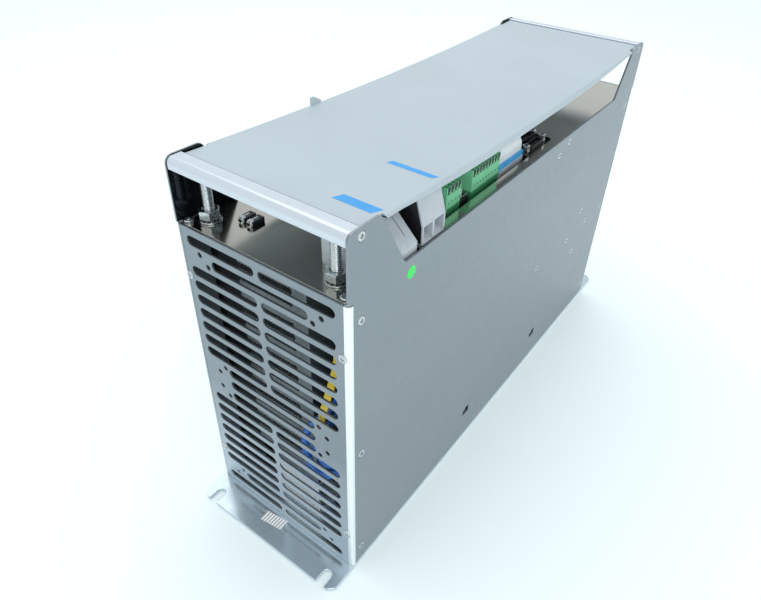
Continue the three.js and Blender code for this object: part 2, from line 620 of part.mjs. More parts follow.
function addElectronics() {
  add('terminal_board', box(19, 53.2, 17, 232, BOARD_Z, BOARD_Z + BOARD_T), 0x2f6b46, 0.0, 0.5);
  add('control_board', box(48, 49.6, 45, 272, SIDE_BOTTOM + 4, BOARD_Z - 0.1), 0x2f6b46, 0.0, 0.5);
  add('board_rail', cut(box(46, 51.6, 45, 272, SIDE_BOTTOM, SIDE_BOTTOM + 8),
    [box(47.8, 49.8, 44, 273, SIDE_BOTTOM + 3.9, SIDE_BOTTOM + 9)]), 0x1c1e20, 0.0, 0.5);
  add('power_module', box(SINK.x1 + 0.1, 34.4, 110, 200, 84, 160), 0x26282b, 0.0, 0.5);
  add('power_board', box(34.5, 36.1, 60, 272, 52, 183), 0x2f6b46, 0.0, 0.5);
  const feet = [56, 180].map((y) => box(19, 43, y - 2, y + 2, SIDE_BOTTOM, SIDE_BOTTOM + 3));
  const board = box(18, 44, 52, 184, SIDE_BOTTOM + 2.5, SIDE_BOTTOM + 4.1);
  add('capacitor_board', union([board, ...feet]), 0x2f6b46, 0.0, 0.5);
  [76, 118, 160].forEach((y, i) => {
    add(`link_capacitor_${i + 1}`, rod('z', 31, y, SIDE_BOTTOM + 4.2, 46, 12.8, 24), 0x23303c, 0.1, 0.4);
  });
}

// Choke behind the four screws of the right side plate.
function addChoke() {
  const ring = cut(rod('x', 299.5, 100, 35, 54.9, 22, 24), [rod('x', 299.5, 100, 34, 56, 9.5, 18)]);
  add('choke', ring, 0x7a5a34, 0.2, 0.5);
}

// A bent wire: a circle swept along a smooth curve through the given points.
function wire(points, radius, steps) {
  const curve = new THREE.CatmullRomCurve3(points.map(([x, y, z]) => new THREE.Vector3(x, y, z)));
  const circle = new THREE.Shape();
  circle.absarc(0, 0, radius, 0, Math.PI * 2, false);
  return solid(new THREE.ExtrudeGeometry(circle, {
    steps, extrudePath: curve, bevelEnabled: false, curveSegments: 4,
  }));
}

function addWires() {
  const loop = [[33.6, 59.6, 122], [33, 30, 121], [30.5, 10, 113], [23, 8, 102], [17.5, 8, 91], [15.8, 8, 80],
    [18.5, 8, 67], [26, 8, 61.5], [35, 9, 66], [42, 14, 72], [44, 30, 76], [46.8, 44.6, 78]];
  add('blue_wire_1', wire(loop, 1.8, 34), 0x1c56b4, 0.0, 0.4);
  const second = [[33.6, 59.6, 110], [33.4, 34, 110], [32, 17, 105.5], [27.5, 12, 97.5], [22.8, 12, 88],
    [20.8, 12, 80], [22.4, 12, 71.5], [28.4, 12, 67.5], [36, 13, 72], [42, 20, 80], [44.6, 32, 86],
    [46.8, 44.6, 89]];
  add('blue_wire_2', wire(second, 1.7, 34), 0x2b69cc, 0.0, 0.4);
  const strip = [[44, 16.4, 184.5], [43.5, 9, 170], [41.2, 7.5, 153], [36.5, 6, 132], [33.4, 4.4, 116],
    [34.6, 4.6, 104], [40, 12, 97], [44, 30, 95], [46.6, 44.4, 94]];
  const curve = new THREE.CatmullRomCurve3(strip.map(([x, y, z]) => new THREE.Vector3(x, y, z)));
  const band = outline([[-2.2, -0.5], [2.2, -0.5], [2.2, 0.5], [-2.2, 0.5]]);
  add('yellow_cable', solid(new THREE.ExtrudeGeometry(band, {
    steps: 30, extrudePath: curve, bevelEnabled: false,
  })), 0xe0b830, 0.0, 0.5);
}

function addFan(tag, zc) {
  const y1 = LENGTH - SHEET - 0.2;
  const y0 = y1 - FAN_DEPTH;
  const half = FAN_SIZE / 2;
  const hubR = 17;
  const ring = cut(box(SLOT_X - half, SLOT_X + half, y0, y1, zc - half, zc + half),
    [rod('y', SLOT_X, zc, y0 - 1, y1 + 1, FAN_BORE, 40)]);
  const struts = [];
  for (let i = 0; i < 4; i += 1) {
    const bar = box(-1.5, 1.5, y1 - 3, y1, hubR - 2, FAN_BORE + 1);
    struts.push(bar.rotate([0, 20 + 90 * i, 0]).translate([SLOT_X, 0, zc]));
  }
  const boss = rod('y', SLOT_X, zc, y1 - 3, y1, hubR, 28);
  const holes = [];
  for (const sx of [-1, 1]) {
    for (const sz of [-1, 1]) {
      holes.push(rod('y', SLOT_X + sx * FAN_HOLES[0], zc + sz * FAN_HOLES[0], y0 - 1, y1 + 1, 2, 10));
    }
  }
  add(`fan_frame_${tag}`, cut(union([ring, boss, ...struts]), holes), 0x1d1f21, 0.0, 0.5);

  const blades = [];
  const count = 7;
  for (let i = 0; i < count; i += 1) {
    const blade = box(-7.5, 7.5, -0.7, 0.7, hubR - 2, FAN_BORE - 1.2);
    blades.push(blade.rotate([0, 0, 38]).rotate([0, 360 * i / count, 0])
      .translate([SLOT_X, y0 + 10, zc]));
  }
  const hub = rod('y', SLOT_X, zc, y0 + 2, y1 - 3.6, hubR, 28);
  add(`fan_rotor_${tag}`, union([hub, ...blades]), 0x26282a, 0.0, 0.45);
}

// ---- assembly ------------------------------------------------------------------------

addBackPlate();
addSidePlate('side_plate_right', 1);
addSidePlate('side_plate_left', -1);
addEdgeScrews();
addEndPlates();
addFrontPanel();
addPanelScrews();
addCoverSheet();
addCoverBars();
addStud('left', ...STUD_AT[0]);
addStud('right', ...STUD_AT[1]);
addContacts();
addPowerTerminalLarge();
addPowerTerminalSmall();
addGreenPair(4, 95.8);
addGreenPair(9, 122.6);
addIndicator();
addRibbon();
addBusSocket('a', 44.8, 189.4, 218);
addBusSocket('b', 36.6, 192.4, 221);
addHeatsink();
addBracketAndBaffle();
addElectronics();
addChoke();
addWires();
FAN_Z.forEach((z, i) => addFan(i === 0 ? 'low' : 'high', z));

export default parts;
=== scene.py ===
"""Visual model of a servo drive lying on its mounting plate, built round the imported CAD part.

Lengths in the shape code are millimetres in the drive's own coordinates: x across, y from the
near edge of the enclosure, z up from the floor. at() turns them into metres in the row frame.
"""

import math

import bpy
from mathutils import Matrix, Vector
from mathutils.geometry import delaunay_2d_cdt


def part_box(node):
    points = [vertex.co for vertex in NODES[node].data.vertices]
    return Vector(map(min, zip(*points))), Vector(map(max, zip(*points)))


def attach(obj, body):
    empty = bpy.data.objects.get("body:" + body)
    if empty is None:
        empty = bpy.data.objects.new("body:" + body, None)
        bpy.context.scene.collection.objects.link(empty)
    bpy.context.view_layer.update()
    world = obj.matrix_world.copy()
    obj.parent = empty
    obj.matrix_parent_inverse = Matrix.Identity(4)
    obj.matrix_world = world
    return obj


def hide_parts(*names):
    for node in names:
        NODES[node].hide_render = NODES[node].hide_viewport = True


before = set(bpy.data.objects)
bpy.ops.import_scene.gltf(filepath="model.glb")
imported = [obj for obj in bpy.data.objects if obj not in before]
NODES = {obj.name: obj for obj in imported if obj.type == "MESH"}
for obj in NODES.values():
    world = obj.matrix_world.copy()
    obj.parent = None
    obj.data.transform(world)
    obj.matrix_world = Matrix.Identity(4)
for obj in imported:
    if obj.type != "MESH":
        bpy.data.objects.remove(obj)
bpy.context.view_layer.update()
HOUSING = "housing"

# ---- sizes ----

MM = 0.001
NEAR_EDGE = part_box("side_plate_right")[0].y
LENGTH = (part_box("side_plate_right")[1].y - NEAR_EDGE) / MM
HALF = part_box("side_plate_right")[1].x / MM
SHEET = 1.5
WALL_IN = HALF - SHEET
PANEL_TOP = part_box("front_panel")[1].z / MM
EAR_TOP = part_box("side_plate_right")[1].z / MM
PLATE_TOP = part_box("back_plate")[1].z / MM
SIDE_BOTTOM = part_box("side_plate_right")[0].z / MM
NEAR_FLANGE = (NEAR_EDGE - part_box("back_plate")[0].y) / MM
FAR_FLANGE = (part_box("back_plate")[1].y - NEAR_EDGE) / MM - LENGTH

EDGE_SCREW_Y = 9
EDGE_SCREW_Z = (238.8, 194.1, 101.9, 14.2)
SIDE_SCREWS = (
    (237.6, 201.9), (223.3, 196.7), (222.3, 104.8),
    (300.4, 119.3), (318.6, 101.7), (279.8, 100.2), (300.2, 79.6),
)
SCREW_R = 2.4
GRILLE_RIVETS = ((-53, 175.3), (53, 175.3), (-53, 34.1), (53, 34.1))

SLOT_ROWS = 21
SLOT_PITCH = 9.48
SLOT_TOP_Z = 199
SLOT_HALF_H = 3
SLOT_X = -0.8
SLOT_OUT = 49.6
SLOT_IN = 1.4
SHORT_OUT = 32.8
SHORT_ROWS = (2, 10, 11, 12, 20)
FAN_HOLE_R = 1.6
FAN_Z = {"low": 57, "high": 151.2}
FAN_HOLES = (41.25, 35.75)

# Widths across flats of the socket screws and the bus jackscrews.
SOCKET_FLATS = 2.1
JACKSCREW_FLATS = 4.4
JACKSCREW_TURN = 0.3

# Middles of the side plates' low cut-outs, and the front panel's window for the connectors.
SIDE_CUTOUT_Y = (131, 240)
WINDOW_X = (23.5, 48.9)
WINDOW_Y = (18.8, 225)

# Runs in y of the small terminal's wire entries, and the radii of the two blue wires.
SMALL_ENTRIES = ((60.8, 68.6), (70.3, 79))
BLUE_WIRE_R = (2.4, 2.2)


def at(x, y, z):
    """Drive coordinates in millimetres as a point of the row frame in metres."""
    return Vector((x * MM, NEAR_EDGE + y * MM, z * MM))


def span(node):
    """Lowest and highest corner of a CAD node in drive coordinates, in millimetres."""
    low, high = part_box(node)
    shift = Vector((0, NEAR_EDGE, 0))
    return (low - shift) / MM, (high - shift) / MM


# ---- finishes ----


def colour(code):
    """Linear colour of an #rrggbb code."""
    parts = [int(code[i:i + 2], 16) / 255 for i in (1, 3, 5)]
    return [c / 12.92 if c <= 0.04045 else ((c + 0.055) / 1.055) ** 2.4 for c in parts]


class Finish:
    """A procedural material under construction, in object coordinates (metres)."""

    def __init__(self, name, base, metallic=0.0, roughness=0.5, **sockets):
        self.material = bpy.data.materials.new(name)
        self.material.use_nodes = True
        self.nodes = self.material.node_tree.nodes
        self.links = self.material.node_tree.links
        self.shader = self.nodes["Principled BSDF"]
        self.base = colour(base)
        self.socket("Base Color").default_value = (*self.base, 1)
        self.socket("Metallic").default_value = metallic
        self.socket("Roughness").default_value = roughness
        for key, value in sockets.items():
            self.socket(key.replace("_", " ")).default_value = value
        self.place = self.nodes.new("ShaderNodeTexCoord").outputs["Object"]
        self.normal = None

    def socket(self, name):
        """Input of the shader with this name."""
        return self.shader.inputs[name]

    def noise(self, size, detail=2.0, stretch=(1, 1, 1)):
        """Noise whose features are about size millimetres, longer where stretch is larger."""
        mapping = self.nodes.new("ShaderNodeMapping")
        mapping.inputs["Scale"].default_value = [1 / (size * MM * s) for s in stretch]
        texture = self.nodes.new("ShaderNodeTexNoise")
        texture.inputs["Scale"].default_value = 1
        texture.inputs["Detail"].default_value = detail
        self.links.new(self.place, mapping.inputs["Vector"])
        self.links.new(mapping.outputs["Vector"], texture.inputs["Vector"])
        return texture.outputs["Fac"]

    def waves(self, pitch, axis):
        """Soft ridges across an axis, one for each pitch millimetres."""
        texture = self.nodes.new("ShaderNodeTexWave")
        texture.bands_direction = axis
        texture.inputs["Scale"].default_value = math.pi / 10 / (pitch * MM)
        self.links.new(self.place, texture.inputs["Vector"])
        return texture.outputs["Fac"]

    def ranged(self, fac, low, high, from_low=0.3, from_high=0.7):
        """fac mapped from one range of values to another."""
        node = self.nodes.new("ShaderNodeMapRange")
        node.inputs["From Min"].default_value = from_low
        node.inputs["From Max"].default_value = from_high
        node.inputs["To Min"].default_value = low
        node.inputs["To Max"].default_value = high
        self.links.new(fac, node.inputs["Value"])
        return node.outputs["Result"]

    def tint(self, fac, dark, light, low=0.3, high=0.7):
        """Base colour between two multiples of the base, following fac."""
        ramp = self.nodes.new("ShaderNodeValToRGB")
        ends = ramp.color_ramp.elements
        ends[0].position, ends[1].position = low, high
        ends[0].color = (*[min(1, c * dark) for c in self.base], 1)
        ends[1].color = (*[min(1, c * light) for c in self.base], 1)
        self.links.new(fac, ramp.inputs["Fac"])
        self.links.new(ramp.outputs["Color"], self.socket("Base Color"))
        return self

    def shine(self, fac, low, high):
        """Roughness between two values, following fac."""
        self.links.new(self.ranged(fac, low, high), self.socket("Roughness"))
        return self

    def swap(self, name, fac, value):
        """Replaces what feeds a socket by a fixed value where fac is 1."""
        is_colour = name == "Base Color"
        mix = self.nodes.new("ShaderNodeMix")
        mix.data_type = "RGBA" if is_colour else "FLOAT"
        kind = "RGBA" if is_colour else "VALUE"
        first, second = [s for s in mix.inputs if s.type == kind][-2:]
        self.links.new(self.socket(name).links[0].from_socket, first)
        second.default_value = value
        self.links.new(fac, mix.inputs["Factor"])
        output = next(s for s in mix.outputs if s.type == kind)
        self.links.new(output, self.socket(name))
        return self

    def relief(self, fac, depth, strength=1.0):
        """Bump of the given depth in millimetres, on top of any bump already there."""
        bump = self.nodes.new("ShaderNodeBump")
        bump.inputs["Distance"].default_value = depth * MM
        bump.inputs["Strength"].default_value = strength
        self.links.new(fac, bump.inputs["Height"])
        if self.normal:
            self.links.new(self.normal, bump.inputs["Normal"])
        self.normal = bump.outputs["Normal"]
        self.links.new(self.normal, self.socket("Normal"))
        return self


def satin_finish(name, base, roughness, stretch, metallic=0.82):
    """Rolled steel sheet: faint long grain, cloudy sheen and a fine tooth."""
    finish = Finish(name, base, metallic=metallic, roughness=roughness)
    finish.tint(finish.noise(60, 2, stretch), 0.98, 1.02)
    finish.shine(finish.noise(5, 3), roughness - 0.03, roughness + 0.03)
    finish.relief(finish.noise(0.35, 2), 0.004)
    return finish


def satin_sheet(*settings):
    """Rolled sheet that looks the same on both faces."""
    return satin_finish(*settings).material


def left_plate_sheet():
    """Satin outside; on the face inside the cover space, smooth metal whose dark colour is a painted
    reflection of the dark interior.
    """
    finish = satin_finish("side_sheet_left", "#92999f", 0.4, (1, 6, 1))
    axes = finish.nodes.new("ShaderNodeSeparateXYZ")
    finish.links.new(finish.place, axes.inputs["Vector"])
    outer, inner = -(WALL_IN + 0.3) * MM, -(WALL_IN + 0.2) * MM
    inside = finish.ranged(axes.outputs["X"], 0, 1, outer, inner)
    finish.swap("Roughness", inside, 0.1)
    # Painted reflection: the inner face's colour is painted near black.
    finish.swap("Base Color", inside, (*colour("#2a2f33"), 1))
    return finish.material


def grille_sheet():
    """The slotted sheet with a painted reflection: its colour turns lighter towards its foot, under a
    random cloudy tone.
    """
    finish = Finish("end_sheet", "#8b939a", metallic=0.82, roughness=0.36)
    axes = finish.nodes.new("ShaderNodeSeparateXYZ")
    finish.links.new(finish.place, axes.inputs["Vector"])
    # Painted reflection: the colour turns lighter towards the foot of the sheet.
    painted_reflection_foot = finish.ranged(axes.outputs["Z"], 1, 0, 0.002, 0.1)
    cloud = finish.ranged(finish.noise(40, 2), -0.06, 0.06)
    mix = finish.nodes.new("ShaderNodeMath")
    finish.links.new(painted_reflection_foot, mix.inputs[0])
    finish.links.new(cloud, mix.inputs[1])
    finish.tint(mix.outputs[0], 1.0, 2.1, 0.0, 1.0)
    finish.shine(finish.noise(5, 3), 0.33, 0.4)
    finish.relief(finish.noise(0.35, 2), 0.004)
    return finish.material


def anodised_bar():
    """Satin anodised extrusion with very fine die lines along X."""
    finish = Finish("bar_paint", "#d0d6de", metallic=0.5, roughness=0.24)
    finish.tint(finish.noise(1.2, 2, (60, 1, 1)), 0.97, 1.03)
    finish.shine(finish.noise(5, 2), 0.2, 0.28)
    finish.relief(finish.noise(0.4, 2, (60, 1, 1)), 0.003)
    return finish.material


def zinc_plate():
    """Galvanised plate with faint spangle."""
    finish = Finish("plate_zinc", "#c6d3db", metallic=0.7, roughness=0.2)
    finish.tint(finish.noise(26, 3, (1, 3, 1)), 0.94, 1.04)
    finish.shine(finish.noise(6, 3), 0.15, 0.26)
    finish.relief(finish.noise(2.5, 2), 0.006)
    return finish.material


def polished_panel():
    """Polished sheet with cloudy, drawn-out reflections."""
    finish = Finish("polished_panel", "#b9b6ae", metallic=1.0, roughness=0.13)
    finish.tint(finish.noise(45, 3, (1, 4, 1)), 0.9, 1.05)
    finish.shine(finish.noise(14, 3, (1, 3, 1)), 0.1, 0.18)
    finish.relief(finish.noise(9, 2, (1, 5, 1)), 0.012, 0.6)
    return finish.material


def powder_coat(name, base, roughness, peel):
    """Powder coat: fine orange peel and a slight cloudiness."""
    finish = Finish(name, base, roughness=roughness, Specular_IOR_Level=0.42)
    finish.tint(finish.noise(60, 2), 0.97, 1.03)
    finish.shine(finish.noise(4, 2), roughness - 0.04, roughness + 0.05)
    finish.relief(finish.noise(0.9, 2), peel)
    finish.relief(finish.noise(0.25, 1), peel * 0.4)
    return finish.material


def bright_metal(name, base, roughness=0.22):
    """Zinc-plated hardware: uneven sheen and hairline marks."""
    finish = Finish(name, base, metallic=1.0, roughness=roughness)
    finish.tint(finish.noise(1.6, 3), 0.82, 1.08)
    finish.shine(finish.noise(0.7, 3), roughness - 0.07, roughness + 0.12)
    finish.relief(finish.noise(0.4, 2), 0.01)
    return finish.material


def extruded_metal(name, base):
    """Raw extruded aluminium: die lines along Y."""
    finish = Finish(name, base, metallic=0.6, roughness=0.36)
    finish.tint(finish.noise(3, 3, (1, 40, 1)), 0.85, 1.1)
    finish.shine(finish.noise(1, 3, (1, 40, 1)), 0.28, 0.45)
    finish.relief(finish.noise(0.5, 2, (1, 60, 1)), 0.02)
    return finish.material


def plastic(name, base, roughness=0.45, grain=0.5, **sockets):
    """Moulded plastic with a fine spark-eroded grain and slight flow marks."""
    finish = Finish(name, base, roughness=roughness, **sockets)
    finish.tint(finish.noise(7, 3), 0.92, 1.06)
    finish.shine(finish.noise(2.5, 2), roughness - 0.06, roughness + 0.07)
    finish.relief(finish.noise(grain, 2), 0.015)
    return finish.material


def circuit_board():
    """Solder mask with a faint pattern of tracks underneath."""
    finish = Finish("board", "#1f5a3a", roughness=0.32, Coat_Weight=0.3)
    cells = finish.nodes.new("ShaderNodeTexVoronoi")
    cells.feature = "DISTANCE_TO_EDGE"
    cells.inputs["Scale"].default_value = 320
    finish.links.new(finish.place, cells.inputs["Vector"])
    finish.tint(cells.outputs["Distance"], 1.5, 0.9, 0.0, 0.12)
    finish.relief(cells.outputs["Distance"], 0.03)
    return finish.material


def wound_wire():
    """Enamelled copper turns round the choke; the tint is painted shade in the grooves between turns
    and a painted highlight on their crowns.
    """
    finish = Finish("choke_winding", "#8a5a30", metallic=0.6, roughness=0.35)
    ridges = finish.waves(1.6, "Y")
    # Painted shade and highlight: darker in the grooves, lighter on the crowns of the turns.
    finish.tint(ridges, 0.55, 1.15, 0.1, 0.8)
    finish.relief(ridges, 0.4)
    return finish.material


def paper(name, base, stripes=0):
    """Matt label stock, with plain generic stripes where a pitch is given."""
    finish = Finish(name, base, roughness=0.55)
    if stripes:
        finish.tint(finish.waves(stripes, "X"), 0.25, 1.0, 0.1, 0.3)
    else:
        finish.tint(finish.noise(3, 2), 0.95, 1.04)
    finish.relief(finish.noise(0.3, 2), 0.01)
    return finish.material


def pale_floor():
    """Pale backdrop that glows faintly, so that it stays near white."""
    finish = Finish("pale_floor", "#f0f8f9", roughness=0.6)
    finish.tint(finish.noise(900, 2), 0.985, 1.0)
    finish.relief(finish.noise(30, 2), 0.02)
    finish.socket("Emission Color").default_value = (*colour("#f4fdff"), 1)
    finish.socket("Emission Strength").default_value = 0.1
    return finish.material


MATERIALS = {
    "plate_zinc": zinc_plate(),
    "side_sheet": satin_sheet("side_sheet", "#92999f", 0.4, (1, 6, 1)),
    "side_sheet_left": left_plate_sheet(),
    "end_sheet": grille_sheet(),
    # Near-white sheet for the right fold: a painted highlight of the bend.
    "painted_highlight_sheet": satin_sheet("painted_highlight_sheet", "#f4f8f9", 0.3, (1, 1, 6)),
    "polished_panel": polished_panel(),
    "cover_paint": powder_coat("cover_paint", "#b3bdc4", 0.42, 0.02),
    "bar_paint": anodised_bar(),
    "screw_steel": bright_metal("screw_steel", "#cfd3d4"),
    "black_plastic": plastic("black_plastic", "#131417", 0.38),
    "grey_plastic": plastic("grey_plastic", "#bfc5ca", 0.5),
    "dark_plastic": plastic("dark_plastic", "#2b2e32", 0.45),
    "green_plug": plastic("green_plug", "#84d7a4", 0.42, Specular_IOR_Level=0.4),
    "green_header": plastic("green_header", "#3f8f61", 0.45),
    "blue_plastic": plastic("blue_plastic", "#4fb2f0", 0.4),
    "white_ribbon": plastic("white_ribbon", "#f1f3f6", 0.22, 3.0),
    "sink_aluminium": extruded_metal("sink_aluminium", "#7f868a"),
    "bracket_sheet": satin_sheet("bracket_sheet", "#f2f5f6", 0.5, (6, 1, 1), 0.25),
    "board": circuit_board(),
    "capacitor_sleeve": plastic("capacitor_sleeve", "#232b36", 0.3),
    "choke_winding": wound_wire(),
    "blue_wire": plastic("blue_wire", "#2472d4", 0.32, Coat_Weight=0.3),
    "yellow_wire": plastic("yellow_wire", "#f2cf3a", 0.4),
    "decal_blue": paper("decal_blue", "#3f9be0"),
    "green_sticker": paper("green_sticker", "#4be36a"),
    "white_label": paper("white_label", "#ffffff", stripes=2.0),
}

NODE_FINISHES = {
    "black_plastic": (
        "air_baffle", "bus_socket_a", "bus_socket_b", "contact_holder",
        "fan_frame_high", "fan_frame_low",
    ),
    "blue_plastic": ("ribbon_socket",),
    "board": ("capacitor_board", "control_board", "power_board", "terminal_board"),
    "bracket_sheet": ("sink_bracket_far", "sink_bracket_near"),
    "capacitor_sleeve": ("link_capacitor_1", "link_capacitor_2", "link_capacitor_3"),
    "choke_winding": ("choke",),
    "dark_plastic": ("board_rail", "indicator_block", "power_module", "ribbon_header_rear"),
    "green_header": ("green_header_4", "green_header_9"),
    "green_plug": ("green_plug_4", "green_plug_9"),
    "grey_plastic": ("power_terminal_large", "power_terminal_small", "ribbon_header_front"),
    "screw_steel": ("contact_pin_1", "contact_pin_2"),
    "white_ribbon": ("indicator_light",),
    "yellow_wire": ("yellow_cable",),
}

SOFTENED_NODES = (
    "power_terminal_large", "power_terminal_small", "green_header_4", "green_header_9",
    "green_plug_4", "green_plug_9", "contact_holder", "ribbon_header_front",
    "ribbon_header_rear", "ribbon_socket", "bus_socket_a", "bus_socket_b", "indicator_block",
)


def new_object(name, data):
    """Object in the scene that shows the given data."""
    obj = bpy.data.objects.new(name, data)
    bpy.context.scene.collection.objects.link(obj)
    return obj


def set_material(obj, key):
    """Gives a piece or a CAD node one material from MATERIALS."""
    obj.data.materials.clear()
    obj.data.materials.append(MATERIALS[key])


def soften(obj, width):
    """Small rounded edges on a CAD node, by modifiers only."""
    weld = obj.modifiers.new("weld", "WELD")
    weld.merge_threshold = 0.005 * MM
    bevel = obj.modifiers.new("edges", "BEVEL")
    bevel.width = width * MM
    bevel.segments = 2
    bevel.limit_method = "ANGLE"
    bevel.angle_limit = math.radians(40)
    bevel.harden_normals = True


# ---- shapes ----


def arc(cu, cv, radius, start, end, steps=8):
    """Points on a circle from one angle to another, in degrees."""
    angles = [math.radians(start + (end - start) * i / steps) for i in range(steps + 1)]
    return [(cu + radius * math.cos(a), cv + radius * math.sin(a)) for a in angles]


def circle(cu, cv, radius, steps=24):
    """Closed round outline."""
    return arc(cu, cv, radius, 0, 360, steps)[:-1]


def slot_loop(cu, cv, half_length, radius):
    """Closed outline of a slot with round ends, lying along u."""
    reach = half_length - radius
    return arc(cu + reach, cv, radius, -90, 90, 10) + arc(cu - reach, cv, radius, 90, 270, 10)


def filleted(corners, steps=6):
    """Closed outline through (u, v) or (u, v, radius) corners, rounded where a radius is given."""
    loop = []
    for i, corner in enumerate(corners):
        here = Vector(corner[:2])
        if len(corner) == 2:
            loop.append(tuple(here))
            continue
        before = Vector(corners[i - 1][:2])
        after = Vector(corners[(i + 1) % len(corners)][:2])
        first, second = (before - here).normalized(), (after - here).normalized()
        half = first.angle(second) / 2
        run = corner[2] / math.tan(half)
        centre = here + (first + second).normalized() * corner[2] / math.sin(half)
        start, end = here + first * run - centre, here + second * run - centre
        for k in range(steps + 1):
            loop.append(tuple(centre + start.slerp(end, k / steps).normalized() * corner[2]))
    return loop


def oriented(loop, anticlockwise):
    """The loop, reversed if it runs the other way round."""
    area = sum(a[0] * b[1] - b[0] * a[1] for a, b in zip(loop, loop[1:] + loop[:1]))
    return loop if (area > 0) == anticlockwise else loop[::-1]


def inset(loop, distance):
    """The loop moved to its left by a distance."""
    moved = []
    for i, point in enumerate(loop):
        here = Vector(point)
        first = (here - Vector(loop[i - 1])).normalized()
        second = (Vector(loop[(i + 1) % len(loop)]) - here).normalized()
        left_1, left_2 = Vector((-first.y, first.x)), Vector((-second.y, second.x))
        moved.append(tuple(here + (left_1 + left_2) * distance / max(0.5, 1 + left_1.dot(left_2))))
    return moved


def fill(loops):
    """Triangles over an outline without its holes, numbering the points of all loops in order."""
    points = [Vector(point) for loop in loops for point in loop]
    faces, start = [], 0
    for loop in loops:
        order = range(start, start + len(loop))
        faces.append(list(order if start == 0 else reversed(order)))
        start += len(loop)
    found = delaunay_2d_cdt(points, [], faces, 1, 1e-5)
    origin = [ids[0] for ids in found[3]]
    return [
        tuple(origin[i] for i in triangle)
        for triangle, owners in zip(found[2], found[5]) if list(owners) == [0]
    ]


class Shape:
    """Vertices in metres and faces of one visual piece, added bit by bit."""

    def __init__(self):
        self.points = []
        self.faces = []

    def ring(self, points):
        """Adds points and returns their numbers."""
        start = len(self.points)
        self.points.extend(points)
        return list(range(start, start + len(points)))

    def bridge(self, lower, upper):
        """Joins two rings of equal length with a band of faces."""
        count = len(lower)
        for i in range(count):
            k = (i + 1) % count
            self.faces.append((lower[i], lower[k], upper[k], upper[i]))

    def loft(self, rings, caps=True, wrap=False):
        """Skin over closed rings of points, in order."""
        rows = [self.ring(points) for points in rings]
        for lower, upper in zip(rows, rows[1:]):
            self.bridge(lower, upper)
        if wrap:
            self.bridge(rows[-1], rows[0])
        elif caps:
            self.faces.append(tuple(reversed(rows[0])))
            self.faces.append(tuple(rows[-1]))
        return self

    def sheet(self, outline, holes, thickness, place, edge=0.25):
        """Flat plate with holes and small chamfers; place(u, v, w) puts w = 0 at mid thickness."""
        loops = [oriented(outline, True)] + [oriented(hole, False) for hole in holes]
        inner = [inset(loop, edge) for loop in loops]
        triangles = fill(inner)
        half = thickness / 2
        levels = ((inner, half), (loops, half - edge), (loops, edge - half), (inner, -half))
        rows = [
            [self.ring([place(u, v, w) for u, v in loop]) for loop in source]
            for source, w in levels
        ]
        for upper, lower in zip(rows, rows[1:]):
            for a, b in zip(lower, upper):
                self.bridge(a, b)
        top = [i for row in rows[0] for i in row]
        bottom = [i for row in rows[-1] for i in row]
        for triangle in triangles:
            self.faces.append(tuple(top[i] for i in triangle))
            self.faces.append(tuple(bottom[i] for i in reversed(triangle)))
        return self

    def lathe(self, profile, origin, axis, steps=24):
        """Turned shape: profile of (radius, height) in mm about an axis through origin (metres)."""
        up = Vector(axis).normalized()
        side = up.orthogonal().normalized()
        other = up.cross(side)
        rings = []
        for radius, height in profile:
            rings.append([
                origin + up * height * MM + (side * u + other * v) * MM
                for u, v in circle(0, 0, max(radius, 0.01), steps)
            ])
        return self.loft(rings)

    def make(self, name, finish, body=HOUSING, stands_for=(), bevel=0, smooth=32):
        """Turns the shape into a piece that rides on a body and may stand for CAD nodes."""
        mesh = bpy.data.meshes.new(name)
        mesh.from_pydata([tuple(p) for p in self.points], [], self.faces)
        mesh.validate()
        mesh.shade_smooth()
        mesh.set_sharp_from_angle(angle=math.radians(smooth))
        obj = new_object(name, mesh)
        set_material(obj, finish)
        if bevel:
            soften(obj, bevel)
        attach(obj, body)
        if stands_for:
            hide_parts(*stands_for)
        return obj


def hexagon(flats, angle=0.0, steps=8):
    """Direction and radius of points on a hexagon of the given width across flats, steps to a side."""
    radii = []
    for i in range(6 * steps):
        a = math.radians(60 * i / steps)
        within = (a % (math.pi / 3)) - math.pi / 6
        radii.append((a + angle, flats / 2 / math.cos(within)))
    return radii


def evened(radii, radius):
    """The same directions, all at one radius."""
    return [(a, radius) for a, _ in radii]


def polar(x, y, radius, angle, z):
    """Point at a radius and an angle round an upright axis, in drive coordinates."""
    return at(x + radius * math.cos(angle), y + radius * math.sin(angle), z)


# ---- sheet metal ----


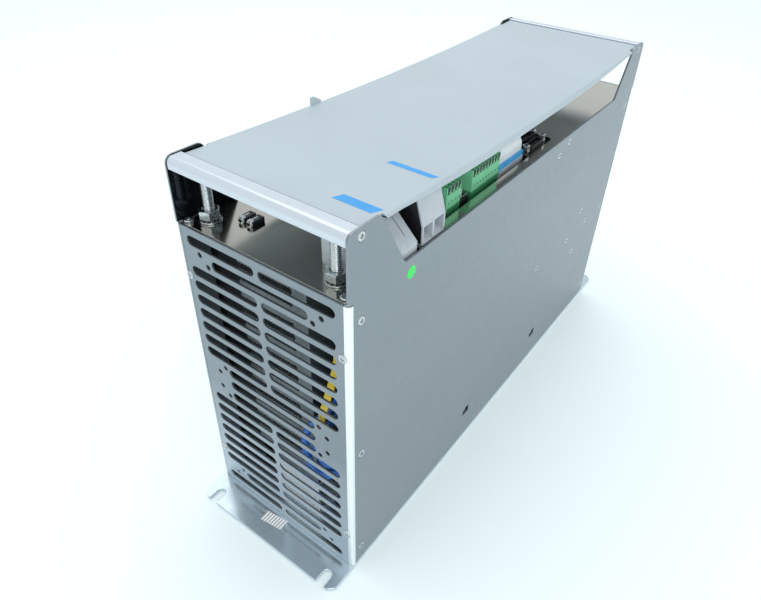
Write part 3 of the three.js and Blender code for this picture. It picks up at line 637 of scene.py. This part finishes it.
def side_plate(name, side, node, finish):
    """Side plate with two raised ears, countersunk holes and wiring cut-outs."""
    foot, notch, rest, toe = 3.3, PANEL_TOP + 0.6, 208, SIDE_BOTTOM
    ear_end, ear_foot = 21.96, 41.97
    corners = [
        (foot, toe), (LENGTH - foot, toe), (LENGTH - foot, notch), (LENGTH, notch),
        (LENGTH, EAR_TOP, 4.5), (LENGTH - ear_end, EAR_TOP, 4.5), (LENGTH - ear_foot, rest, 3),
        (ear_foot, rest, 3), (ear_end, EAR_TOP, 4.5), (0, EAR_TOP, 4.5), (0, notch), (foot, notch),
    ]
    screws = [(y, z) for y in (EDGE_SCREW_Y, LENGTH - EDGE_SCREW_Y) for z in EDGE_SCREW_Z]
    if side > 0:
        screws += SIDE_SCREWS
    holes = [circle(y, z, SCREW_R + 0.15) for y, z in screws]
    cut_low, cut_step, cut_top, cut_half = 24.8, 29, 31.4, 4
    for y in SIDE_CUTOUT_Y:
        holes.append([
            (y - cut_half, cut_low), (y + cut_half, cut_low), (y + cut_half, cut_top),
            (y - 1, cut_top), (y - 1, cut_step), (y - cut_half, cut_step),
        ])
    middle = side * (HALF - SHEET / 2)
    shape = Shape()
    shape.sheet(filleted(corners), holes, SHEET, lambda u, v, w: at(middle + w, u, v), 0.2)
    shape.make(name, finish, stands_for=[node])
    heads = Shape()
    for y, z in screws:
        screw_head(heads, at(side * (HALF - 0.08), y, z), (side, 0, 0))
    nodes = [f"edge_screw_{i + 1}" for i in range(4)] if side > 0 else []
    heads.make(f"{name}_screws", "screw_steel", stands_for=nodes)


def screw_head(shape, origin, axis):
    """Countersunk head with a hexagon socket, its rim at origin."""
    up = Vector(axis).normalized()
    side = up.orthogonal().normalized()
    other = up.cross(side)

    def ring(radii, height):
        return [
            origin + up * height * MM + (side * math.cos(a) + other * math.sin(a)) * r * MM
            for a, r in radii
        ]

    socket = hexagon(SOCKET_FLATS, steps=4)
    outside = ((1.3, -1.2), (SCREW_R, -0.15), (SCREW_R - 0.12, 0))
    rings = [ring(evened(socket, radius), height) for radius, height in outside]
    shape.loft(rings + [ring(socket, 0), ring(socket, -1.0)])


def mounting_plate():
    """Back plate with open slots in the near flange and keyholes in the far one."""
    near, far = -NEAR_FLANGE, LENGTH + FAR_FLANGE
    slot_x, slot_r, head_r, corner = 47.3, 3.2, 5.5, 4
    slot_depth, head_in, neck_in = 7, 15, 9
    outline = [(-HALF, near + corner), (-HALF + corner, near)]
    for x in (-slot_x, slot_x):
        outline += [(x - slot_r, near)]
        outline += arc(x, near + slot_depth, slot_r, 180, 0, 12)
        outline += [(x + slot_r, near)]
    outline += [
        (HALF - corner, near), (HALF, near + corner), (HALF, far - corner), (HALF - corner, far),
        (-HALF + corner, far), (-HALF, far - corner),
    ]
    opening = math.degrees(math.acos(slot_r / head_r))
    holes = []
    for x in (-slot_x, slot_x):
        head = arc(x, far - head_in, head_r, 180 - opening, 360 + opening, 24)
        holes.append(arc(x, far - neck_in, slot_r, 0, 180, 12) + head)
    shape = Shape()
    shape.sheet(outline, holes, PLATE_TOP, lambda u, v, w: at(u, v, PLATE_TOP / 2 + w), 0.3)
    shape.make("mounting_plate", "plate_zinc", stands_for=["back_plate"])


def grille_holes():
    """Vent slots and fan screw holes of an end plate, row 1 at the top."""
    holes = []
    for row in range(1, SLOT_ROWS + 1):
        z = SLOT_TOP_Z - (row - 1) * SLOT_PITCH
        if row in SHORT_ROWS:
            holes.append(slot_loop(SLOT_X, z, SHORT_OUT, SLOT_HALF_H))
            continue
        half = (SLOT_OUT - SLOT_IN) / 2
        for side in (-1, 1):
            holes.append(slot_loop(SLOT_X + side * (SLOT_IN + half), z, half, SLOT_HALF_H))
    for zc in FAN_Z.values():
        for reach in FAN_HOLES:
            for sx in (-1, 1):
                for sz in (-1, 1):
                    holes.append(circle(SLOT_X + sx * reach, zc + sz * reach, FAN_HOLE_R, 12))
    return holes


def from_edge(far):
    """Placing function with y from the near edge, or turned round to start at the far edge."""
    def place(x, y, z):
        return at(-x, LENGTH - y, z) if far else at(x, y, z)

    return place


def end_plate(name, node, far):
    """Slotted end plate with folded corners, inner flanges and its hollow rivets."""
    bend, fold, flange = 2.2, 3, 16
    flange_out = WALL_IN - 0.1
    flange_in = flange_out - SHEET
    place = from_edge(far)
    face = [
        (-flange_in, SIDE_BOTTOM), (flange_in, SIDE_BOTTOM),
        (flange_in, PANEL_TOP), (-flange_in, PANEL_TOP),
    ]
    shape = Shape()
    shape.sheet(face, grille_holes(), SHEET, lambda u, v, w: place(u, SHEET / 2 - w, v), 0.22)
    shape.make(name, "end_sheet", stands_for=[node])
    # The right fold's near-white sheet is a painted highlight; the left fold keeps the grille's sheet.
    for side, tag, finish in ((-1, "left", "end_sheet"), (1, "right", "painted_highlight_sheet")):
        corner = [(flange_in, 0)] + arc(HALF - bend, bend, bend, -90, 0, 8)
        corner += [(HALF, fold), (flange_out, fold), (flange_out, flange), (flange_in, flange)]
        levels = (SIDE_BOTTOM, SIDE_BOTTOM + 0.3, PANEL_TOP - 0.3, PANEL_TOP)
        fold_piece = Shape()
        fold_piece.loft([[place(side * x, y, z) for x, y in corner] for z in levels])
        fold_piece.make(f"{name}_fold_{tag}", finish)
    rivets = Shape()
    outward = (0, 1, 0) if far else (0, -1, 0)
    profile = [(2.5, 0), (2.4, 0.4), (1.95, 0.75), (1.35, 0.8), (1.05, 0.6), (0.95, 0.05), (0.2, 0.05)]
    for x, z in GRILLE_RIVETS:
        rivets.lathe(profile, place(x, 0, z), outward)
    rivets.make(f"{name}_rivets", "screw_steel")


def front_panel():
    """Panel with a window for the connectors and holes for the earth studs."""
    near, run = SHEET + 0.3, 16.4
    narrow, wide = WALL_IN - 1.9, WALL_IN - 0.2
    stud_hole = 3.1
    far = LENGTH - near
    outline = [
        (-narrow, near), (narrow, near), (narrow, run), (wide, run), (wide, LENGTH - run),
        (narrow, LENGTH - run), (narrow, far), (-narrow, far), (-narrow, LENGTH - run),
        (-wide, LENGTH - run), (-wide, run), (-narrow, run),
    ]
    (x0, x1), (y0, y1) = WINDOW_X, WINDOW_Y
    window = filleted([(x0, y0, 1.8), (x1, y0, 1.8), (x1, y1, 4), (x0, y1, 4)])
    holes = [window] + [circle(x, y, stud_hole) for x, y in STUDS.values()]
    shape = Shape()
    shape.sheet(outline, holes, SHEET, lambda u, v, w: at(u, v, PANEL_TOP - SHEET / 2 + w), 0.15)
    shape.make("polished_front_panel", "polished_panel", stands_for=["front_panel"])


# ---- cover ----

COVER_T = 1.2
COVER_GROOVE = 0.9
COVER_END_Z = 241.9
COVER_SAG = 3.9
LIP_BOTTOM = 234.2
LIP_RISE = 6
NECK_Y = 26
NECK_X = 54.4
BAR_DEPTH = 9.7
BAR_TOP = 242.9
BAR_BOTTOM = 236.5


def cover_top(y):
    """Height of the sagging cover at a distance from the near edge."""
    phase = (y - LENGTH / 2) / (LENGTH / 2 - BAR_DEPTH)
    return COVER_END_Z - COVER_SAG * (1 - phase ** 2)


def lip_bottom(y):
    """Height of the lower edge of the cover lips, which rises towards both ends."""
    run = max(0, abs(y - LENGTH / 2) - 40) / (LENGTH / 2 - 40 - NECK_Y)
    return LIP_BOTTOM + LIP_RISE * run ** 2


def cover_section(y):
    """Closed section of the cover: flat top, rounded bends and a lip down each side."""
    top, lip, bend = cover_top(y), lip_bottom(y), 1.7
    inner = bend - COVER_T
    outside = [(HALF, lip)] + arc(HALF - bend, top - bend, bend, 0, 90, 6)
    outside += [(-x, z) for x, z in reversed(outside)]
    inside = [(-HALF + COVER_T, lip)] + arc(-HALF + bend, top - bend, inner, 180, 90, 6)
    inside += [(-x, z) for x, z in reversed(inside)]
    return [at(x, y, z) for x, z in outside + inside]


def cover_sheet():
    """Sagging cover between its end bars, with narrower tongues that enter their grooves."""
    low, high = span("cover_sheet")
    low.y += COVER_GROOVE
    high.y -= COVER_GROOVE
    far_neck = LENGTH - NECK_Y
    steps = 60
    shape = Shape()
    shape.loft([cover_section(NECK_Y + (far_neck - NECK_Y) * i / steps) for i in range(steps + 1)])
    for start, end in ((low.y, NECK_Y), (far_neck, high.y)):
        rings = []
        for i in range(5):
            y = start + (end - start) * i / 4
            top = cover_top(y)
            rings.append([at(x, y, z) for x, z in (
                (NECK_X, top - COVER_T), (NECK_X, top), (-NECK_X, top), (-NECK_X, top - COVER_T))])
        shape.loft(rings)
    shape.make("curved_cover", "cover_paint", stands_for=["cover_sheet"])


def cover_bar(name, node, far):
    """Extruded end bar: upright nose, rounded edge, flat top and a ledge under the sheet."""
    start, nose = 0.4, 3.6
    ledge_end, ledge_low, ledge_top = 15.5, 238.2, 240
    profile = [(start, BAR_BOTTOM + 0.3), (start + 0.3, BAR_BOTTOM), (BAR_DEPTH, BAR_BOTTOM)]
    profile += [(BAR_DEPTH, ledge_low), (ledge_end, ledge_low)]
    profile += [(ledge_end, ledge_top), (BAR_DEPTH, ledge_top)]
    profile += [(BAR_DEPTH, BAR_TOP - 0.4), (BAR_DEPTH - 0.4, BAR_TOP)]
    profile += arc(start + nose, BAR_TOP - nose, nose, 90, 180, 10)
    x = WALL_IN - 0.2
    place = from_edge(far)
    shape = Shape()
    rings = [[place(u, v, w) for v, w in profile] for u in (-x, -x + 0.3, x - 0.3, x)]
    shape.loft(rings)
    shape.make(name, "bar_paint", stands_for=[node])


# ---- hardware on the front panel ----

STUDS = {"left": (-45.5, 12.8), "right": (39.8, 12.6)}
PANEL_SCREWS = ((-52.2, 4.4), (51.4, 4.4))


def threaded_stud(tag):
    """Stud with a rolled thread from end to end and a chamfered tip."""
    x, y = STUDS[tag]
    low, high = span(f"earth_stud_{tag}")
    radius = (high.x - low.x) / 2
    pitch, depth, points = 1.0, 0.42, 24
    levels = int((high.z - low.z) / pitch * 6)
    shape = Shape()
    rings = []
    for i in range(levels + 1):
        z = low.z + (high.z - low.z) * i / levels
        tip = min(1, 0.72 + 0.28 * (high.z - z) / 0.8)
        ring = []
        for k in range(points):
            turn = k / points
            wave = abs(((z / pitch - turn) % 1) * 2 - 1)
            r = (radius - depth * wave) * tip
            ring.append(polar(x, y, r, 2 * math.pi * turn, z))
        rings.append(ring)
    shape.loft(rings)
    shape.make(f"threaded_stud_{tag}", "screw_steel", stands_for=[f"earth_stud_{tag}"], smooth=60)


def stud_nut(tag, angle):
    """Hexagon nut with turned chamfers on both faces."""
    x, y = STUDS[tag]
    low, high = span(f"stud_nut_{tag}")
    flats, bore = 10, 3.0
    face = flats / 2 * 0.97
    corners = hexagon(flats, angle)

    def ring(radii, heights):
        return [polar(x, y, r, a, z) for (a, r), z in zip(radii, heights)]

    drop = [max(0, r - face) * math.tan(math.radians(30)) for _, r in corners]
    disc = [(a, min(r, face)) for a, r in corners]
    hole = evened(corners, bore)
    lead = evened(corners, bore + 0.5)
    count = len(corners)
    shape = Shape()
    shape.loft([
        ring(disc, [low.z] * count), ring(corners, [low.z + d for d in drop]),
        ring(corners, [high.z - d for d in drop]), ring(disc, [high.z] * count),
        ring(lead, [high.z] * count), ring(hole, [high.z - 0.5] * count), ring(hole, [low.z] * count),
    ], wrap=True)
    shape.make(f"hex_nut_{tag}", "screw_steel", stands_for=[f"stud_nut_{tag}"], smooth=25)


def stud_washers(tag):
    """Flat washer with a toothed lock washer on it."""
    x, y = STUDS[tag]
    low, _ = span(f"stud_washer_{tag}")
    origin = at(x, y, low.z)
    shape = Shape()
    flat = [(3.2, 0), (5.9, 0), (6.0, 0.15), (6.0, 0.75), (5.85, 0.9), (3.3, 0.9)]
    shape.lathe(flat, origin, (0, 0, 1), 32)
    teeth = 12
    for i in range(teeth):
        turn = 2 * math.pi * i / teeth
        rings = []
        for r, half, rise in ((3.3, 0.5, 0.2), (4.4, 0.7, 0.45), (5.3, 0.6, 0.6)):
            ring = []
            for offset, lift in ((-half, 0), (half, rise), (half, rise + 0.18), (-half, 0.25)):
                a = turn + offset / r
                ring.append(origin + Vector((r * math.cos(a), r * math.sin(a), 0.92 + lift)) * MM)
            rings.append(ring)
        shape.loft(rings)
    shape.make(f"lock_washer_{tag}", "screw_steel", stands_for=[f"stud_washer_{tag}"])


def panel_screws():
    """Socket head screws at the near corners of the front panel."""
    for i, (x, y) in enumerate(PANEL_SCREWS):
        low, high = span(f"panel_screw_{i + 1}")
        origin = at(x, y, high.z)
        height = high.z - PANEL_TOP - 0.05
        socket = hexagon(SOCKET_FLATS, steps=4)

        def ring(radii, drop):
            return [origin + Vector((r * math.cos(a), r * math.sin(a), -drop)) * MM for a, r in radii]

        outside = (
            (1.3, high.z - low.z), (1.3, height), (2.45, height), (2.5, height - 0.1),
            (2.5, 0.4), (2.2, 0.05), (1.9, 0),
        )
        rings = [ring(evened(socket, radius), drop) for radius, drop in outside]
        shape = Shape()
        shape.loft(rings + [ring(socket, 0), ring(socket, 1.0)])
        shape.make(f"socket_screw_{i + 1}", "screw_steel", stands_for=[f"panel_screw_{i + 1}"])


def jackscrews():
    """Hexagon posts at both ends of each bus socket."""
    profile = ((1, 206.05), (1, 211.6), (0.86, 212), (0.42, 212), (0.4, 209))
    from_end = 2.9
    shape = Shape()
    for node in ("bus_socket_a", "bus_socket_b"):
        low, high = span(node)
        x = (low.x + high.x) / 2
        for y in (low.y + from_end, high.y - from_end):
            radii = hexagon(JACKSCREW_FLATS, JACKSCREW_TURN, steps=4)
            rings = []
            for scale, z in profile:
                rings.append([polar(x, y, r * scale, a, z) for a, r in radii])
            shape.loft(rings)
    shape.make("jackscrews", "screw_steel")


# ---- connectors ----

GREEN_PITCH = 3.5


def plug_details(poles, body):
    """Clamping screws in the wells of a green plug, and the test holes in its outer face."""
    low, high = span(f"green_plug_{poles}")
    screw_in, screw_down = 2.9, 6.9
    screws, dots, wells = Shape(), Shape(), Shape()
    for i in range(poles):
        y = low.y + 0.4 + GREEN_PITCH * (i + 0.5)
        screw = [(1.05, 0), (1.05, 0.9), (0.9, 1.05), (0.25, 1.05), (0.25, 0.6)]
        screws.lathe(screw, at(high.x - screw_in, y, high.z - screw_down), (0, 0, 1), 16)
        for z in (high.z - 9.8, high.z - 4.2):
            ring = [(0.5, 0), (0.5, 0.04), (0.2, 0.05)]
            dots.lathe(ring, at(high.x, y + 0.6, z), (1, 0, 0), 12)
        notch = [
            (y - 1.4, high.z), (y - 1.4, high.z - 4.6),
            (y + 1.3, high.z - 2.2), (y + 1.3, high.z),
        ]
        wells.sheet(notch, [], 0.2, lambda u, v, w: at(high.x + 0.02 + w, u, v), 0.03)
    screws.make(f"plug_{poles}_screws", "screw_steel", body)
    dots.make(f"plug_{poles}_test_holes", "dark_plastic", body)
    wells.make(f"plug_{poles}_wire_wells", "black_plastic", body)


def header_ribs():
    """Coding ribs on the outer faces of the green headers."""
    for poles in (4, 9):
        low, high = span(f"green_header_{poles}")
        shape = Shape()
        for i in range(poles):
            y = low.y + 0.4 + GREEN_PITCH * (i + 0.5)
            foot, top, half = high.z - 5, high.z - 1, 0.8
            rib = [(y - half, foot), (y + half, foot), (y + half, top), (y - half, top)]
            shape.sheet(rib, [], 0.3, lambda u, v, w: at(high.x + 0.1 + w, u, v), 0.1)
        shape.make(f"header_{poles}_ribs", "green_header")


def contact_clips():
    """Bright sprung tabs at the near ends of the two contacts."""
    shape = Shape()
    for number in (1, 2):
        low, high = span(f"contact_pin_{number}")
        foot, top, near = PANEL_TOP + 0.15, high.z + 0.2, low.y
        tab = [(near, foot), (near + 3, foot), (near + 3, top), (near + 1.4, top), (near, foot + 2.2)]
        middle = (low.x + high.x) / 2
        shape.sheet(tab, [], 3, lambda u, v, w: at(middle + w, u, v), 0.3)
    shape.make("contact_clips", "bracket_sheet")


def indicator_pins():
    """Row of bright pins standing along the outer edge of the indicator block."""
    low, high = span("indicator_block")
    pin = [(0.36, 0), (0.36, 2.0), (0.2, 2.3)]
    pins, first, pitch, from_edge = 5, 1.3, 1.9, 0.7
    shape = Shape()
    for i in range(pins):
        place = at(high.x - from_edge, low.y + first + pitch * i, high.z)
        shape.lathe(pin, place, (0, 0, 1), 10)
    shape.make("indicator_pins", "screw_steel")


def cover_clip():
    """Small grey wedge on the cover's left edge."""
    wedge = [(103, 238.2), (112, 238.2), (112, 239.6), (106, 243.2), (103, 243.2)]
    shape = Shape()
    shape.sheet(wedge, [], COVER_T, lambda u, v, w: at(-HALF + 0.7 + w, u, v), 0.2)
    shape.make("cover_clip", "grey_plastic")


def terminal_shadows():
    """Painted shade on the small terminal: a dark sheet over its near face and dark blocks deep in its
    wire entries.
    """
    low, high = span("power_terminal_small")
    foot, shoulder_x, shoulder_z = PANEL_TOP + 1.2, 49.6, 216.8
    shade_block_x, shade_block_low, shade_block_top = 45.4, 211.6, 217.1
    shape = Shape()
    # Painted shade: a thin dark sheet over the terminal's near face.
    cheek = [
        (low.x + 1, foot), (high.x - 0.9, foot), (high.x - 0.9, shoulder_z),
        (shoulder_x, high.z - 1), (low.x + 1, high.z - 1),
    ]
    shape.sheet(cheek, [], 0.3, lambda u, v, w: at(u, low.y - 0.1 - w, v), 0.08)
    # Painted shade: dark blocks deep in each wire entry.
    for y0, y1 in SMALL_ENTRIES:
        near, far = y0 + 0.05, y1 - 0.05
        shade_block = [(near, shade_block_low), (far, shade_block_low), (far, shade_block_top), (near, shade_block_top)]
        shape.sheet(shade_block, [], 4, lambda u, v, w: at(shade_block_x + w, u, v), 0.2)
    shape.make("terminal_painted_shade", "black_plastic")


def ribbon_cheek():
    """Light grey latch strip along the foot of the ribbon socket."""
    low, high = span("ribbon_socket")
    top = low.z + 3.3
    strip = [(low.y, low.z), (high.y, low.z), (high.y, top), (low.y, top)]
    shape = Shape()
    shape.sheet(strip, [], 0.4, lambda u, v, w: at(high.x + 0.22 + w, u, v), 0.12)
    shape.make("ribbon_latch", "grey_plastic")


def ribbon():
    """Flat cable of moulded cores that rises from the front socket, folds over and goes back in."""
    low, high = span("ribbon_cable")
    cores = 24
    half, rib = 0.38, 0.12
    x_in, x_out = low.x + 0.5, high.x - 0.5
    radius = (x_out - x_in) / 2
    centre = (x_in + x_out) / 2
    bend_z = high.z - 0.5 - radius
    path = [(x_out, low.z), (x_out, (low.z + bend_z) / 2)]
    path += arc(centre, bend_z, radius, 0, 180, 24)
    path += [(x_in, (low.z + bend_z) / 2), (x_in, low.z)]
    samples = cores * 4
    width = high.y - low.y
    rings = []
    for i, point in enumerate(path):
        before, after = Vector(path[max(0, i - 1)]), Vector(path[min(len(path) - 1, i + 1)])
        along = (after - before).normalized()
        out = Vector((along.y, -along.x))
        ring = []
        for sign in (1, -1):
            steps = range(samples + 1) if sign > 0 else range(samples, -1, -1)
            for k in steps:
                ridge = abs(math.sin(math.pi * cores * k / samples))
                spot = Vector(point) + out * sign * (half + rib * ridge)
                ring.append(at(spot.x, low.y + width * k / samples, spot.y))
        rings.append(ring)
    shape = Shape()
    shape.loft(rings)
    shape.make("folded_ribbon", "white_ribbon", stands_for=["ribbon_cable"], smooth=50)


def tube(name, node, finish, points, radius):
    """Round wire through points given in drive coordinates."""
    curve = bpy.data.curves.new(name, "CURVE")
    curve.dimensions = "3D"
    curve.bevel_depth = radius * MM
    curve.bevel_resolution = 4
    curve.resolution_u = 8
    spline = curve.splines.new("BEZIER")
    spline.bezier_points.add(len(points) - 1)
    for knot, point in zip(spline.bezier_points, points):
        knot.co = at(*point)
        knot.handle_left_type = "AUTO"
        knot.handle_right_type = "AUTO"
    obj = new_object(name, curve)
    set_material(obj, finish)
    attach(obj, HOUSING)
    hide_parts(node)


def wires():
    """Two looped leads behind the near grille."""
    first = [
        (33.6, 59.6, 122), (33, 30, 121), (30.5, 10, 113), (23, 8, 102), (17.5, 8, 91), (15.8, 8, 80),
        (18.5, 8, 67), (26, 8, 61.5), (35, 9, 66), (42, 14, 72), (44, 30, 76), (46.8, 44.6, 78),
    ]
    second = [
        (33.6, 59.6, 110), (33.4, 34, 110), (32, 17, 105.5), (27.5, 12, 97.5), (22.8, 12, 88),
        (20.8, 12, 80), (22.4, 12, 71.5), (28.4, 12, 67.5), (36, 13, 72), (42, 20, 80),
        (44.6, 32, 86), (46.8, 44.6, 89),
    ]
    tube("blue_lead_1", "blue_wire_1", "blue_wire", first, BLUE_WIRE_R[0])
    tube("blue_lead_2", "blue_wire_2", "blue_wire", second, BLUE_WIRE_R[1])


# ---- inside and far end ----


def finned_sink():
    """Extruded heat sink whose horizontal fins carry fine ridges on both faces."""
    low, high = span("heat_sink")
    root, pitch, gap_r, first = 7.3, 7.69, 2.5, 182.9
    ridge_pitch, ridge = 2.2, 0.9
    step_x, step_z = -16, 40.4
    steps = int((root - gap_r - low.x) / ridge_pitch * 4)
    xs = [low.x + (root - gap_r - low.x) * i / steps for i in range(steps + 1)]

    def bump(x):
        return ridge * abs(math.sin(math.pi * (x - low.x) / ridge_pitch))

    outline = [(high.x, low.z), (high.x, high.z), (low.x, high.z)]
    for k in range(-2, 18):
        z = first - pitch * k
        outline += [(x, z + gap_r - bump(x)) for x in xs]
        outline += arc(root - gap_r, z, gap_r, 80, -80, 8)
        outline += [(x, z - gap_r + bump(x)) for x in reversed(xs)]
    outline += [(low.x, step_z), (step_x, step_z), (step_x, low.z)]
    depth = high.y - low.y
    middle = (low.y + high.y) / 2
    shape = Shape()
    shape.sheet(outline, [], depth, lambda u, v, w: at(u, middle - w, v), 0.12)
    shape.make("finned_sink", "sink_aluminium", stands_for=["heat_sink"])


def fan_rotor(tag):
    """Hub with a dished face and seven twisted blades."""
    low, high = span(f"fan_rotor_{tag}")
    zc = FAN_Z[tag]
    hub_depth = 19.4
    hub_y0 = high.y - hub_depth
    shape = Shape()
    hub = [(2, 1.2), (13, 1.2), (15, 0.2), (16.6, 0), (17, 0.5)]
    hub += [(17, hub_depth - 0.8), (16.4, hub_depth), (3, hub_depth)]
    shape.lathe(hub, at(SLOT_X, hub_y0, zc), (0, 1, 0), 40)
    blades, sections = 7, 5
    section = ((-0.5, 0), (-0.2, 0.75), (0.2, 0.7), (0.5, 0), (0.2, -0.25), (-0.2, -0.2))
    for i in range(blades):
        rings = []
        for s in range(sections):
            part = s / (sections - 1)
            r = 16 + 25.4 * part
            chord = 14 + 7 * part
            pitch = math.radians(52 - 20 * part)
            lead = 2 * math.pi * i / blades + 0.22 * part
            ring = []
            for along, thick in section:
                around = along * chord * math.cos(pitch) - thick * math.sin(pitch)
                y = hub_y0 + 9 + along * chord * math.sin(pitch) * 0.9 + thick * math.cos(pitch)
                a = lead + around / r
                ring.append(at(SLOT_X + r * math.cos(a), y, zc + r * math.sin(a)))
            rings.append(ring)
        shape.loft(rings)
    shape.make(f"bladed_rotor_{tag}", "dark_plastic", f"rotor_{tag}", stands_for=[f"fan_rotor_{tag}"])


# ---- labels ----


def stickers():
    """Striped label on the near flange, round inspection dot, and two plain colour bars."""
    label = Shape()
    turn, long, wide, middle = math.radians(8), 8.2, 3.6, Vector((-4, -6))
    along = Vector((math.cos(turn), math.sin(turn)))
    across = Vector((-math.sin(turn), math.cos(turn)))
    corners = [
        middle + along * a * long + across * b * wide
        for a, b in ((-1, -1), (1, -1), (1, 1), (-1, 1))
    ]
    outline = filleted([(c.x, c.y, 0.6) for c in corners])
    label.sheet(outline, [], 0.12, lambda u, v, w: at(u, v, PLATE_TOP + 0.07 + w), 0.03)
    label.make("flange_label", "white_label")
    dot = Shape()
    dot.lathe([(3.6, 0), (3.6, 0.08), (3.5, 0.12), (0.5, 0.12)], at(HALF, 47.5, 199.5), (1, 0, 0), 32)
    dot.make("inspection_dot", "green_sticker")
    bars = Shape()
    for x0, x1, y0, y1, lean in ((29, 51, 22.4, 28.6, 2.2), (25, 52, 68.5, 72.2, 1.4)):
        outline = [(x0, y0), (x1, y0), (x1 + lean, y1), (x0 + lean, y1)]
        bars.sheet(outline, [], 0.06, lambda u, v, w: at(u, v, cover_top(v) + 0.04 + w), 0.02)
    bars.make("cover_accent_bars", "decal_blue")


# ---- assembly ----

for finish_name, node_names in NODE_FINISHES.items():
    for node_name in node_names:
        set_material(NODES[node_name], finish_name)
for node_name in SOFTENED_NODES:
    soften(NODES[node_name], 0.25)

side_plate("side_panel_right", 1, "side_plate_right", "side_sheet")
side_plate("side_panel_left", -1, "side_plate_left", "side_sheet_left")
mounting_plate()
end_plate("near_grille", "near_end_plate", far=False)
end_plate("far_grille", "far_end_plate", far=True)
front_panel()
cover_sheet()
cover_bar("near_cover_bar", "cover_bar_near", far=False)
cover_bar("far_cover_bar", "cover_bar_far", far=True)
for side_name, nut_angle in (("left", 0.35), ("right", 0.1)):
    threaded_stud(side_name)
    stud_nut(side_name, nut_angle)
    stud_washers(side_name)
panel_screws()
jackscrews()
plug_details(4, "plug_4")
plug_details(9, "plug_9")
header_ribs()
terminal_shadows()
contact_clips()
indicator_pins()
cover_clip()
ribbon_cheek()
ribbon()
wires()
finned_sink()
for fan in FAN_Z:
    fan_rotor(fan)
stickers()

# ---- floor, light and camera ----


def floor():
    """Large floor a little below the part."""
    mesh = bpy.data.meshes.new("floor")
    reach, level = 6.0, -0.0004
    corners = [(x * reach, y * reach, level) for x, y in ((-1, -1), (1, -1), (1, 1), (-1, 1))]
    mesh.from_pydata(corners, [], [(0, 1, 2, 3)])
    mesh.materials.append(pale_floor())
    obj = new_object("floor", mesh)


def area_light(name, place, size, power, tone):
    """Rectangular light that faces the part."""
    data = bpy.data.lights.new(name, "AREA")
    data.shape = "RECTANGLE"
    data.size, data.size_y = size
    data.energy = power
    data.color = colour(tone)
    obj = new_object(name, data)
    obj.location = place
    aim = Vector((0, 0, 0.12)) - Vector(place)
    obj.rotation_euler = aim.to_track_quat("-Z", "Y").to_euler()


def studio():
    """Even pale surroundings with a soft light above and one in front."""
    world = bpy.data.worlds.new("studio")
    world.use_nodes = True
    background = world.node_tree.nodes["Background"]
    background.inputs["Color"].default_value = (*colour("#eef6f8"), 1)
    background.inputs["Strength"].default_value = 1.0
    bpy.context.scene.world = world
    area_light("top_light", (-0.35, 0.25, 1.5), (1.4, 1.4), 7, "#fbfdff")
    area_light("front_light", (0.9, -1.1, 0.7), (0.9, 0.9), 3, "#f4fbff")


def camera():
    """Camera with a slight tilt and shift."""
    data = bpy.data.cameras.new("camera")
    data.sensor_width = 36
    data.lens = 29.66
    data.shift_x = -0.018
    data.shift_y = -0.0367
    obj = new_object("camera", data)
    obj.location = (0.1905, -0.34351, 0.37586)
    obj.rotation_euler = [math.radians(a) for a in (54.3126, -1.7729, 36.0134)]
    bpy.context.scene.camera = obj


floor()
studio()
camera()
bpy.context.scene.view_settings.view_transform = "Standard"
